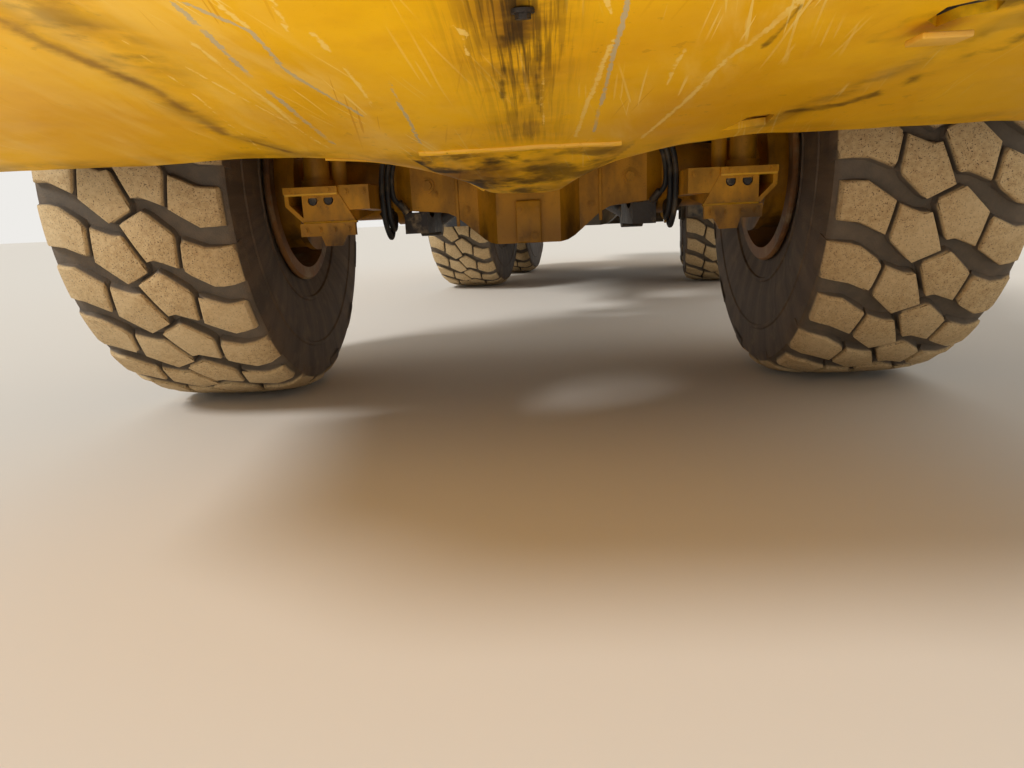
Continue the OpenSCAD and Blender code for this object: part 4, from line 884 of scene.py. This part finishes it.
def tyre_values(mesh):
    """Attributes and a map for the tyre's finish: block tops, sidewalls, way round."""
    co = np.array([v.co for v in mesh.vertices])
    across, r = np.abs(co[:, 0]), np.hypot(co[:, 1], co[:, 2])
    depth = TYRE_R - np.interp(across, *zip(*TREAD_DROP)) - r
    set_values(mesh, "top", np.clip(1 - depth / 0.03, 0, 1))
    beyond = (across > TREAD_EDGE) | (r < TYRE_R - TREAD_DEEP)
    set_values(mesh, "side", beyond.astype(float))
    loops = [loop.vertex_index for loop in mesh.loops]
    around = np.arctan2(-co[:, 1], -co[:, 2]) * TYRE_R
    places = np.stack([around[loops], (r + across)[loops]], axis=1)
    mesh.uv_layers.new(name="UVMap").data.foreach_set("uv", places.ravel())


def make_tyres():
    whole = grown(tyre_sector(), ring_tree(), "tyre_rubber", Count=settings().tyres.pairs)
    tyre_values(outward(whole))
    for wheel in WHEELS:
        at_wheel("tread_", whole, wheel, "tyre_rubber", -LUG_TURN.get(wheel, REAR_LUG_TURN),
                 replaces=["tyre_" + wheel], smooth=30)


# Guard plate; places in metres from the middle of the front axle

GUARD_FRONT, GUARD_REAR, GUARD_TIP = -2.43, -1.05, -0.76
GUARD_HALF = 1.42
MIDDLE_LINE = [(-2.43, 1.0), (-1.15, 0.825), (-0.76, 0.73)]
MIDDLE_HALF = [(-2.43, 0.5), (-1.15, 0.225), (-0.76, 0.115)]
WING_LINE = [(-2.43, 1.0), (-2.15, 1.0), (-1.05, 0.835), (-0.76, 0.835)]
LEFT_CREASE = [(-2.43, 0.66), (-1.3, 0.64), (-1.05, 0.55), (-0.76, 0.2)]
RIGHT_CREASE = [(-2.43, 0.9), (-1.65, 0.8), (-1.25, 0.62), (-1.05, 0.55), (-0.76, 0.2)]
SEAM_Y = -1.15
PLUG, PLUG_SIZE = (0.031, -1.88), 0.6875  # size against a trim bolt
SLOT = [(0.64, -1.71), (0.643, -1.757), (0.68, -1.768), (0.728, -1.752), (0.738, -1.715),
        (0.69, -1.703), (0.672, -1.675)]
OPENING = [(0.478, -1.128), (0.512, -1.215), (0.53, -1.226), (0.56, -1.226), (0.574, -1.214),
           (0.582, -1.128)]

# Marks on the guard: tone, half width, places in metres from the middle of the front axle
MARKS = [
    ("grey", 0.0055, [(-0.4, -1.96), (-0.418, -1.77), (-0.43, -1.55), (-0.43, -1.2)]),
    ("grey", 0.0045, [(-0.39, -1.96), (-0.342, -1.87), (-0.35, -1.72), (-0.328, -1.58),
                      (-0.3, -1.45)]),
    ("pale", 0.005, [(-0.45, -1.82), (-0.458, -1.37)]),
    ("pale", 0.006, [(-0.35, -1.96), (-0.34, -1.88)]),
    ("pale", 0.005, [(-0.28, -1.95), (-0.292, -1.86)]),
    ("pale", 0.0055, [(-0.262, -1.86), (-0.26, -1.78)]),
    ("pale", 0.0045, [(-0.26, -1.72), (-0.262, -1.5)]),
    ("grey", 0.004, [(-0.205, -1.64), (-0.222, -1.22)]),
    ("pale", 0.004, [(-0.052, -1.84), (-0.06, -1.74)]),
    ("pale", 0.004, [(-0.07, -1.85), (-0.05, -1.81)]),
    ("grey", 0.0045, [(0.168, -1.89), (0.17, -1.25)]),
    ("pale", 0.006, [(0.162, -1.77), (0.13, -1.22)]),
    ("pale", 0.0045, [(0.28, -1.71), (0.28, -1.53)]),
    ("pale", 0.004, [(0.137, -1.9), (0.15, -1.845)]),
    ("pale", 0.0075, [(0.402, -1.86), (0.362, -1.64), (0.291, -1.15)]),
    ("dark", 0.005, [(0.408, -1.84), (0.404, -1.69)]),
    ("pale", 0.003, [(-0.56, -1.8), (-0.58, -1.52), (-0.63, -1.14)]),
    ("pale", 0.003, [(-0.52, -1.7), (-0.47, -1.4), (-0.455, -1.15)]),
    ("pale", 0.0035, [(0.06, -1.62), (0.055, -1.3)]),
    ("dark", 0.02, [(0.026, -1.93), (0.026, -1.78)]),
    ("dark", 0.005, [(0.0, -1.8), (-0.016, -1.5)]),
    ("dark", 0.005, [(0.054, -1.78), (0.05, -1.45)]),
    ("brown", 0.016, [(-0.69, -1.86), (-0.69, -1.78), (-0.67, -1.68), (-0.64, -1.58),
                      (-0.65, -1.27)]),
    ("brown", 0.008, [(-0.65, -1.27), (-0.57, -1.11)]),
    ("dark", 0.016, [(0.86, -1.6), (0.82, -1.48), (0.77, -1.37), (0.7, -1.26), (0.6, -1.23)]),
    ("dark", 0.03, [(0.64, -1.72), (0.76, -1.76)]),
    ("brown", 0.024, [(0.6, -1.66), (0.7, -1.63)]),
]


def soft_ramp(value, width):
    """0 below zero and value above it, with a round between."""
    return (value + math.sqrt(value * value + width * width)) / 2


def crease_at(x, y):
    """Half width out to the outer crease, whose course differs on the left and the right."""
    return along_table(LEFT_CREASE if x < 0 else RIGHT_CREASE, y)


def guard_height(x, y):
    """Height of the guard's underside."""
    look = settings().guard
    half = along_table(MIDDLE_HALF, y)
    crease = max(half + 0.05, crease_at(x, y))
    low, wing = along_table(MIDDLE_LINE, y), along_table(WING_LINE, y)
    slope = (wing - low) / (crease - half)
    z = low + slope * soft_ramp(abs(x) - half, look.fold)
    z -= slope * soft_ramp(abs(x) - crease, look.fold * 0.6)
    dents = noise.noise((x * 5, y * 3, 0.4)) + 0.6 * noise.noise((x * 11, y * 7, 2))
    return z + dents * look.dent


def rear_edge(x):
    """Y of the guard's rear edge."""
    return along_table([(0.115, GUARD_TIP), (0.52, GUARD_REAR), (GUARD_HALF, GUARD_REAR)], abs(x))


def front_edge(x):
    """Y of the guard's front edge."""
    return along_table([(0.5, GUARD_FRONT), (GUARD_HALF, -2.15)], abs(x))


def make_guard():
    thick = settings().guard.thick
    across = sorted(set(np.round(np.concatenate([
        np.linspace(-GUARD_HALF, GUARD_HALF, 72), np.linspace(-0.72, 0.72, 223),
        [-0.52, -0.115, 0.115, 0.52]]), 4)))
    rows = 100
    lower = []
    for x in across:
        y0, y1 = front_edge(x), rear_edge(x)
        for k in range(rows + 1):
            y = y0 + (y1 - y0) * k / rows
            lower.append((x, y, guard_height(x, y)))
    upper = [(x, y, z + thick) for x, y, z in lower]
    n, wide, last = len(lower), rows + 1, len(across) - 1
    faces = []
    for i in range(last):
        for k in range(rows):
            a, b = i * wide + k, (i + 1) * wide + k
            faces += [(a, a + 1, b + 1, b), (a + n, b + n, b + n + 1, a + n + 1)]
    rim = [i * wide for i in range(last + 1)] + [last * wide + k for k in range(1, wide)]
    rim += [i * wide + rows for i in range(last - 1, -1, -1)] + list(range(rows - 1, 0, -1))
    faces += [(a, b, b + n, a + n) for a, b in zip(rim, rim[1:] + rim[:1])]
    mesh = cut(outward(new_mesh("guard", lower + upper, faces)), [SLOT, OPENING], 0.7, 1.1)
    mesh.transform(TRACTOR)
    guard_values(mesh)
    piece("guard_plate", mesh, "tractor", "guard_paint", ["skid_guard"], smooth=50)
    guard_fittings()


def near_line(flat, a, b):
    """Distance of each place from the line between two places."""
    a, b = np.array(a), np.array(b)
    run = b - a
    t = np.clip((flat - a) @ run / (run @ run), 0, 1)
    return np.hypot(*(flat - a - t[:, None] * run).T)


def share(value):
    return min(1, max(0, value))


def hump(*offsets):
    """1 where all the offsets are 0, less and less beyond 1."""
    return math.exp(-sum(offset * offset for offset in offsets))


def guard_values(mesh):
    """Where the guard is scuffed, grimy, sooty and marked."""
    back = TRACTOR.inverted()
    flat = np.array([(back @ v.co).to_2d() for v in mesh.vertices])
    worn = []
    for x, y in flat:
        half = along_table(MIDDLE_HALF, y)
        outer = hump((abs(x) - crease_at(x, y)) / 0.035)
        tip = share((y - SEAM_Y) / 0.06) * (1 if abs(x) < half + 0.06 else 0.3)
        side = share((x + 0.1) / 0.25)
        front, rear = share((-1.35 - y) / 0.4), share((SEAM_Y - y) / 0.1)
        worn.append((
            share(hump((abs(x) - half) / 0.07) + 0.6 * outer),
            max(tip * (0.95 - 0.35 * side), 0.5 * hump((x + 0.6) / 0.07, (y + 1.8) / 0.16),
                0.35 * outer),
            max(front, 0.45 * rear) * hump((x - 0.02) / 0.07)))
    for name, values in zip(("fold", "grime", "soot"), zip(*worn)):
        set_values(mesh, name, values)
    shake = [[noise.noise((x * 6, y * 6, z)) for z in (0.4, 5.7)] for x, y in flat]
    shaken = flat + 0.005 * np.array(shake)
    for tone in ("brown", "dark", "pale", "grey"):
        field = np.zeros(len(flat))
        for kind, width, points in MARKS:
            if kind == tone:
                for a, b in zip(points, points[1:]):
                    field = np.maximum(field, 1 - near_line(shaken, a, b) / (2.2 * width))
        set_values(mesh, tone, field)


def guard_fittings():
    """Weld across the tip, plug in the middle, clip at the slot and shelf behind the opening."""
    bead = settings().guard.bead
    seam = [Vector((x, SEAM_Y + 0.004, guard_height(x, SEAM_Y) - 0.001))
            for x in np.linspace(-0.24, 0.24, 60)]
    edge = [Vector((x, rear_edge(x) - 0.004, guard_height(x, rear_edge(x)) - 0.002))
            for x in np.linspace(-0.5, -0.12, 40)]
    fitted("guard_weld", [tubes([seam], bead, "yellow_paint", 10, 0.003),
                          tubes([edge], bead * 0.5, "yellow_paint", 8, 0.002)], "yellow_paint")
    x, y = PLUG
    down = Vector((0, 0.14, -1)).normalized()
    fitted("guard_plug", [bolts([(Vector((x, y, guard_height(x, y) - 0.001)), down)], PLUG_SIZE)])
    clip = slab((0.628, -1.725, 0.893), (0.704, -1.668, 0.903), 0.003)
    shelf = slab((0.47, -1.15, 0.868), (0.622, -1.095, 0.878), 0.003)
    lip = slab((0.47, -1.098, 0.868), (0.622, -1.088, 0.905), 0.003)
    fitted("guard_shelf", [clip, shelf, lip], "yellow_paint")


# Front axle's fittings; bolts as x, y, z and size against a trim bolt

AXLE_BOLTS = [
    (-0.378, -0.192, 0.794, 1.2), (-0.352, -0.192, 0.762, 0.6), (0.378, -0.192, 0.794, 1.2),
    (0.021, -0.32, 0.596, 0.8), (-0.033, -0.32, 0.69, 0.4), (0.033, -0.32, 0.69, 0.4),
    (-0.033, -0.32, 0.586, 0.4), (0.235, -0.192, 0.7, 0.6), (-0.235, -0.192, 0.7, 0.6),
]
# Right and left alike
CUP_BOLTS = [(0.68, -0.436, 0.75, 0.9), (0.735, -0.436, 0.75, 0.9)]
BRACKET_BOLTS = [
    (0.615, -0.471, 0.651, 0.5), (0.665, -0.471, 0.651, 0.5), (0.715, -0.471, 0.651, 0.5),
    (0.762, -0.471, 0.651, 0.5), (0.56, -0.446, 0.775, 0.5), (0.62, -0.446, 0.775, 0.5),
    (0.812, -0.461, 0.784, 0.4), (0.676, -0.461, 0.784, 0.4),
]
AXLE_HOSES = [  # from the frame down past the casting to the brake
    [(0.4, -0.262, 1.055), (0.462, -0.266, 0.96), (0.508, -0.266, 0.84), (0.512, -0.262, 0.7),
     (0.508, -0.215, 0.64), (0.52, -0.12, 0.69), (0.545, -0.085, 0.712)],
    [(0.42, -0.285, 1.055), (0.48, -0.288, 0.97), (0.524, -0.288, 0.84), (0.527, -0.282, 0.69),
     (0.52, -0.23, 0.612), (0.535, -0.12, 0.652), (0.575, -0.07, 0.698)],
    [(0.38, -0.24, 1.055), (0.44, -0.242, 0.96), (0.492, -0.245, 0.86), (0.499, -0.24, 0.76),
     (0.47, -0.215, 0.72)],
]
AXLE_PIPE = [(0.3, -0.115, 0.915), (0.5, -0.1, 0.925), (0.75, -0.085, 0.915), (0.87, -0.15, 0.98)]


def ahead(table):
    """Bolt heads that face the front."""
    return [((x, y, z), AHEAD, size) for x, y, z, size in table]


def make_axle_fittings():
    trim = settings().trim
    plate = slab((-0.045, -0.319, 0.573), (0.045, -0.298, 0.722), 0.006)
    rib = both(slab((0.262, -0.196, 0.64), (0.274, -0.185, 0.905), 0.003))
    fitted("axle_nose_plate", [plate, rib], "shaded_axle_paint")
    heads = bolt_rows(ahead(AXLE_BOLTS), False) + bolt_rows(ahead(BRACKET_BOLTS), True)
    fitted("axle_bolts", heads, "shaded_axle_paint")
    bolt_piece("bracket_bolts", ahead(CUP_BOLTS))
    hoses = [smooth_line(line) for line in AXLE_HOSES]
    line_piece("axle_hoses", hoses, trim.hose * 0.62, sides=10)
    ends = [drum(line[k], trim.hose * 0.9, 0.05, Vector(line[k]) - Vector(line[j]), 0.002, 12)
            for line in AXLE_HOSES for k, j in ((0, 1), (-1, -2))]
    fitted("axle_hose_ends", ends, mirrored=True)
    line_piece("axle_pipes", [smooth_line(AXLE_PIPE)], 0.006, "cast_steel")
    welds = [straight((0.59, -0.4515, 0.6735), (0.77, -0.4515, 0.6735), 21),
             straight((0.648, -0.4515, 0.7725), (0.8285, -0.4515, 0.7725), 20)]
    line_piece("bracket_welds", welds, trim.weld, "yellow_paint", lumps=0.003)


# Wheels: one set of nuts, hub bolts and a valve, turned to each place

WHEEL_RINGS = [  # count, radius of the ring, place along the axle, size against a trim bolt
    (12, 0.18, 0.0795, 0.85),
    (8, 0.092, 0.245, 0.75),
]
VALVE = [(0.085, 0.02, 0.262), (0.125, 0.02, 0.268), (0.15, 0.02, 0.285)]


def make_wheel_fittings():
    parts = [bolts([((out, y, z), OUT) for y, z in circle(0, 0, ring, count, 0.5)], size)
             for count, ring, out, size in WHEEL_RINGS]
    parts.append(drum((0.256, 0, 0), 0.022, 0.012, OUT))
    parts.append(tubes([smooth_line(VALVE, 5)], 0.005, "cast_steel", 8))
    whole = joined(parts)
    for wheel in WHEELS:
        at_wheel("nuts_", whole, wheel, "cast_steel")


# Cab

PANE = 0.781  # from the middle out to the side windows
SEALS = {  # body: lines of window edges, which the piece closes
    "tractor": [
        *([(x, -0.63, 2.45), (x, -0.49, 3.16), (x, -0.49, 2.45)] for x in (PANE, -PANE)),
        [(-PANE, -0.39, 2.45), (-PANE, -0.39, 3.16), (-PANE, 0.61, 3.16), (-PANE, 0.61, 2.45)],
        [(-0.69, -0.773, 2.48), (0.69, -0.773, 2.48), (0.69, -0.641, 3.16), (-0.69, -0.641, 3.16)],
        [(-0.69, 0.761, 2.45), (0.69, 0.761, 2.45), (0.69, 0.761, 3.16), (-0.69, 0.761, 3.16)],
    ],
    "cab_door": [
        [(PANE, -0.33, 2.2), (PANE, -0.33, 3.12), (PANE, 0.47, 3.12), (PANE, 0.47, 2.2)],
    ],
}
GRAB_BARS = [
    [(0.775, -0.47, 1.92), (0.825, -0.47, 1.95), (0.825, -0.47, 2.3), (0.775, -0.47, 2.33)],
    [(0.775, 0.66, 1.95), (0.825, 0.66, 1.98), (0.825, 0.66, 2.55), (0.775, 0.66, 2.58)],
]
WIPERS = (-0.34, 0.24)
LOW_LAMPS = (-0.772, -0.628, 0.628, 0.772)
LAMP_Z = 1.195


def vectors(*points):
    return [Vector(p) for p in points]


def make_cab_fittings():
    for body, lines in SEALS.items():
        line_piece("window_seals_" + body, [vectors(*line, line[0]) for line in lines], 0.011,
                   body=body, mirrored=False)
    arms = [vectors((x, -0.8, 2.44), (x + 0.1, -0.775, 2.7)) for x in WIPERS]
    blades = [vectors((x + 0.02, -0.782, 2.52), (x + 0.17, -0.722, 2.86)) for x in WIPERS]
    wipers = [tubes(arms, 0.008, "black_plastic", 8), tubes(blades, 0.006, "black_plastic", 6)]
    wipers += [drum((x, -0.812, 2.43), 0.022, 0.03, AHEAD) for x in WIPERS]
    fitted("wipers", wipers, "black_plastic")
    line_piece("grab_bars", [smooth_line(bar, 6) for bar in GRAB_BARS], 0.013, "yellow_paint",
               mirrored=False, sides=10)
    lamps = [slab((x - 0.062, -0.548, 3.412), (x + 0.062, -0.537, 3.5))
             for x in (-0.6, -0.42, 0.42, 0.6)]
    lamps += [drum((x, -2.437, LAMP_Z), 0.046, 0.014, AHEAD, 0.005) for x in LOW_LAMPS]
    fitted("lamp_lenses", lamps, "lamp_lens")
    fitted("beacon", [drum((-0.5, 0.56, 3.492), 0.052, 0.112, edge=0.018)], "amber_lens")
    glass = slab((1.232, -0.634, 2.512), (1.408, -0.627, 3.008), 0.003)
    fitted("mirror_faces", [glass], "mirror_glass", mirrored=True)
    fitted("seat_pads", [slab((-0.245, -0.055, 2.25), (0.245, 0.375, 2.32), 0.03),
                         slab((-0.235, 0.352, 2.3), (0.235, 0.412, 2.86), 0.028),
                         slab((-0.14, 0.395, 2.88), (0.14, 0.47, 3.02), 0.03)], "seat_cloth")
    heads = [((0.8, y, z), OUT, 0.55) for y in (0.592, 0.606) for z in (2.008, 2.898)]
    heads += [((side * 1.44 + dx, y, 1.757), UP, 0.5)
              for side in (-1, 1) for y in (-1.02, -0.45) for dx in (-0.03, 0.03)]
    bolt_piece("cab_bolts", heads, mirrored=False)


# Hood, bumper and deck

HOOD_SEAM = vectors((0.7008, -0.884, 2.27), (0.7008, -2.08, 1.97), (0.7008, -2.08, 1.352))
HOOD_HANDLE = [(-0.16, -2.395, 1.9), (-0.16, -2.425, 1.905), (0.16, -2.425, 1.905),
               (0.16, -2.395, 1.9)]
STUD_STEP = 0.045


def make_front_fittings():
    line_piece("hood_seams", [HOOD_SEAM], 0.003, body="hood", sides=6)
    blade = slab((0.683, -1.897, 1.655), (0.699, -1.853, 1.945), 0.003)
    fitted("louvres", [row(blade, 7, (0, 0.09, 0), "dark_paint")], "dark_paint", "hood", True)
    latches = [slab((0.698, y, 1.46), (0.716, y + 0.03, 1.6), 0.006) for y in (-1.98, -1.02)]
    latches += [slab((0.698, y - 0.01, 1.575), (0.722, y + 0.04, 1.6)) for y in (-1.98, -1.02)]
    fitted("hood_latches", latches, "black_plastic", "hood", True)
    line_piece("hood_handle", [smooth_line(HOOD_HANDLE)], 0.011, body="hood", mirrored=False,
               sides=10)
    heads = [((0.701, -1.8 + i * 0.17, 1.4), OUT, 0.55) for i in range(6)]
    heads += [((0.701, -0.9, 1.5 + i * 0.17), OUT, 0.55) for i in range(5)]
    bolt_piece("hood_bolts", heads, body="hood")
    heads = [((x, -2.431, z), AHEAD, 0.8) for x in (0.2, 0.4, 0.9) for z in (1.06, 1.3)]
    heads += [((1.421, -1.95 + i * 0.16, 1.3), OUT, 0.6) for i in range(6)]
    bolt_piece("bumper_bolts", heads, "yellow_paint")
    rings = [[Vector((x, -2.438, z)) for x, z in circle(lamp, LAMP_Z, 0.052, closed=True)]
             for lamp in LOW_LAMPS[2:]]
    line_piece("lamp_rings", rings, 0.006)
    stud = drum((0.86, -1.06, 1.747), 0.008, 0.006, edge=0.0015, sides=8)
    line = row(stud, 14, (STUD_STEP, 0, 0), "dark_paint")
    studs = row(line, 42, (0, STUD_STEP, 0), "dark_paint")
    fitted("deck_studs", [studs], "dark_paint", mirrored=True)
    heads = [((x, 0.918 * y, 0.8 + 0.947 * z), (0, y, z), 0.5) for x in (0.9, 1.42)
             for y, z in ((-math.cos(a), math.sin(a)) for a in (0.35, 0.75, 2.4, 2.8))]
    bolt_piece("mudguard_bolts", heads)
    bands = [[Vector((*place, z)) for place in circle(-1.01, -0.25, 0.099, closed=True)]
             for z in (1.87, 2.22, 2.53)]
    line_piece("exhaust_bands", bands, 0.009, "cast_steel", mirrored=False)
    rib = slab((1.165, -1.69, 0.459), (1.385, -1.68, 0.466), 0.002)
    ribs = row(rib, 9, (0, 0.032, 0), "dark_paint")
    fitted("step_ribs", [row(ribs, 2, (0, 0, 0.27), "dark_paint")], "dark_paint")


# Load unit and dump body

RIB_START, RIB_PITCH, RIB_WIDTH = 1.3, 0.9, 0.11
RIB_CORNERS = [(0.74, 1.557), (1.403, 2.05), (1.403, 2.77)]  # x and z down the body's side


def make_body_fittings():
    lumpy = {"radius": settings().trim.weld, "look": "yellow_paint", "body": "dump_body",
             "sides": 6, "lumps": 0.004}
    lines = []
    for i in range(6):
        corners = RIB_CORNERS if i < 5 else RIB_CORNERS[1:]
        rib = RIB_START + i * RIB_PITCH
        for y in (rib - 0.003, rib + RIB_WIDTH + 0.003):
            lines.append([p for (x0, z0), (x1, z1) in zip(corners, corners[1:])
                          for p in straight((x0, y, z0), (x1, y, z1), 25)[:-1]])
    line_piece("body_welds", lines, **lumpy)
    line_piece("rail_welds", [straight((1.404, 1.48, 2.738), (1.404, 5.93, 2.738), 90)], **lumpy)
    caps = [drum((0.474, 5.35, 1.42), 0.03, 0.012, OUT),
            drum((0.805, 4.4, 0.62), 0.028, 0.014, OUT)]
    fitted("pin_caps", caps, "cast_steel", "load_unit", True)
    pipes = [vectors((0.326, 0.8, z), (0.326, y, z), (0.326, 5, z))
             for y, z in ((2.8, 1.1), (3.2, 1.14), (3.6, 1.18))]
    line_piece("rail_pipes", pipes, 0.009, "cast_steel", "load_unit", mirrored=False)
    heads = [((0.461, y, z), OUT, 0.9)
             for y in (0.82, 0.9, 1.6, 2.6, 3.6, 5.1) for z in (1.06, 1.26)]
    bolt_piece("rail_bolts", heads, body="load_unit")
    heads = [((x, 2.259, 1.27), AHEAD, 0.7) for x in (0.98, 1.12, 1.26, 1.4)]
    bolt_piece("flap_bolts", heads, body="load_unit")
    rims = [slab((0.395, 5.505, 1.135), (0.625, 5.512, 1.265), 0.003),
            slab((0.43, 5.511, 1.255), (0.59, 5.516, 1.262), 0.001)]
    fitted("tail_lamp_rims", rims, "black_plastic", "load_unit", True)
    lenses = [drum((x, 5.515, 1.2), 0.046, 0.012, BACK, 0.004) for x in (0.455, 0.565)]
    fitted("tail_lenses", lenses, "red_lens", "load_unit", True)
    heads = [((x, 0.634, z), BACK, 0.7) for x, z in circle(0, 1.15, 0.165, 12)]
    bolt_piece("hitch_bolts", heads, body="hitch", mirrored=False)


# Finishes of the frame's own nodes

NODE_LOOKS = {
    "yellow_paint": "front_frame bumper handrails tanks cab hood hood_sides cab_door "
                    "steer_barrel_left steer_barrel_right body_mounts hoist_barrels",
    "shaded_axle_paint": "front_axle axle_brackets suspension_struts",
    "body_paint": "dump_body",
    "dark_paint": "rear_frame rear_rails cross_members hoist_axle rear_axles bogie_beams "
                  "mudguards steps transmission exhaust engine",
    "cast_steel": "radius_arms hitch driveshafts",
    "bright_steel": "steer_rod_left steer_rod_right hoist_rods",
    "rim_paint": " ".join("rim_" + wheel for wheel in WHEELS),
    "clear_glass": "cab_glass door_glass",
    "black_plastic": "cab_interior mirrors grille radiator mud_flaps headlamps",
    "red_lens": "tail_lamps",
}


def dress_nodes():
    for look, names in NODE_LOOKS.items():
        for name in names.split():
            materials = frame["nodes"][name].data.materials
            materials.clear()
            materials.append(finish(look))


# Stage

FLOOR_CORNER = 600 * math.sqrt(2)  # of a square floor, from the middle
SENSOR = 36  # millimetres
KEY_FROM, KEY_SPREAD = (-0.75, -0.62, 0.95), math.radians(14)
FILL_SIZE = (2.6, 0.8)
FILL_PLACE = (AXLE.x - 0.6, AXLE.y - 2.75, 0.03)


def make_stage():
    look = settings().stage
    scene = bpy.context.scene
    data = bpy.data.cameras.new("camera")
    data.lens, data.sensor_width = look.lens, SENSOR
    scene.camera = placed("camera", data)
    scene.camera.matrix_world = (
        Matrix.Translation((AXLE.x + look.side, AXLE.y - look.back, look.height))
        @ Matrix.Rotation(-look.heading, 4, "Z")
        @ Matrix.Rotation(math.pi / 2 + look.tilt, 4, "X")
        @ Matrix.Rotation(look.roll, 4, "Z")
    )
    corners = [(x, y, 0) for x, y in circle(0, 0, FLOOR_CORNER, 4, 0.5)]
    floor = placed("floor", new_mesh("floor", corners, [(0, 1, 2, 3)]))
    f = Finish("floor_paint")
    f.set({"Roughness": 0.9, "Base Color": (*look.floor, 1)})
    floor.data.materials.append(f.material)
    sun = bpy.data.lights.new("key", "SUN")
    sun.energy, sun.angle = look.sun, KEY_SPREAD
    placed("key", sun).rotation_euler = Vector(KEY_FROM).to_track_quat("Z", "Y").to_euler()
    area = bpy.data.lights.new("fill", "AREA")
    area.shape, area.energy = "RECTANGLE", look.fill
    area.size, area.size_y = FILL_SIZE
    fill = placed("fill", area)
    fill.location = FILL_PLACE
    fill.rotation_euler.x = math.pi
    make_room(look)
    scene.view_settings.view_transform = "Standard"


def make_room(look):
    """Even light, with a pale background for the camera, gloss and glass."""
    world = bpy.data.worlds.new("room")
    bpy.context.scene.world = world
    world.use_nodes = True
    tree = world.node_tree
    even = tree.nodes["Background"]
    even.inputs["Color"].default_value = (*screen(250, 248, 244), 1)
    even.inputs["Strength"].default_value = look.sky
    pale = add_node(tree, "ShaderNodeBackground", {"Color": screen(238, 236, 232)})
    path = add_node(tree, "ShaderNodeLightPath").outputs
    seen = path["Is Camera Ray"]
    for ray in ("Is Glossy Ray", "Is Transmission Ray"):
        either = add_node(tree, "ShaderNodeMath", {0: seen, 1: path[ray]}, operation="MAXIMUM")
        seen = either.outputs[0]
    mix = add_node(tree, "ShaderNodeMixShader", {0: seen, 1: even.outputs[0], 2: pale.outputs[0]})
    tree.links.new(mix.outputs[0], tree.nodes["World Output"].inputs["Surface"])


# Operators and panel


def operator(key, label, about, make):
    """Operator class that makes one group of pieces."""

    def execute(self, context):
        make()
        return {"FINISHED"}

    return type("TRUCK_OT_" + key, (bpy.types.Operator,), {
        "bl_idname": "truck." + key,
        "bl_label": label,
        "__doc__": about,
        "execute": execute,
    })


OPERATORS = [
    operator("stage", "Stage", "Adds the floor, lights and camera", make_stage),
    operator("nodes", "Frame finishes", "Paints the frame's own solids", dress_nodes),
    operator("tyres", "Tyres", "Makes the six treaded tyres", make_tyres),
    operator("guard", "Guard", "Makes the guard plate under the nose", make_guard),
    operator("axle", "Front axle's fittings", "Adds bolts, plates, welds and hoses",
             make_axle_fittings),
    operator("wheels", "Wheel fittings", "Adds nuts, hub bolts and valves", make_wheel_fittings),
    operator("cab", "Cab fittings", "Adds seals, wipers, lamps, mirrors and seat pads",
             make_cab_fittings),
    operator("front", "Hood and deck fittings", "Adds louvres, latches, bolts and studs",
             make_front_fittings),
    operator("body", "Load unit's fittings", "Adds weld beads, pipes, bolts and lamp rims",
             make_body_fittings),
]


class TRUCK_PT_panel(bpy.types.Panel):
    """Lists the truck's pieces and their settings"""

    bl_label = "Truck"
    bl_idname = "TRUCK_PT_panel"
    bl_space_type = "VIEW_3D"
    bl_region_type = "UI"
    bl_category = "Truck"

    def draw(self, context):
        for made in OPERATORS:
            self.layout.operator(made.bl_idname)
        for key, group in LOOKS.items():
            box = self.layout.box()
            box.label(text=group.__doc__)
            look = getattr(context.scene.truck, key)
            for name in group.__annotations__:
                box.prop(look, name)


CLASSES = [*LOOKS.values(), TruckSettings, *OPERATORS, TRUCK_PT_panel]


def register():
    for made in CLASSES:
        bpy.utils.register_class(made)
    bpy.types.Scene.truck = PointerProperty(type=TruckSettings)


def unregister():
    del bpy.types.Scene.truck
    for made in reversed(CLASSES):
        bpy.utils.unregister_class(made)


def main():
    register()
    for made in OPERATORS:
        getattr(bpy.ops.truck, made.bl_idname.split(".")[1])()


if __name__ == "__main__":
    main()
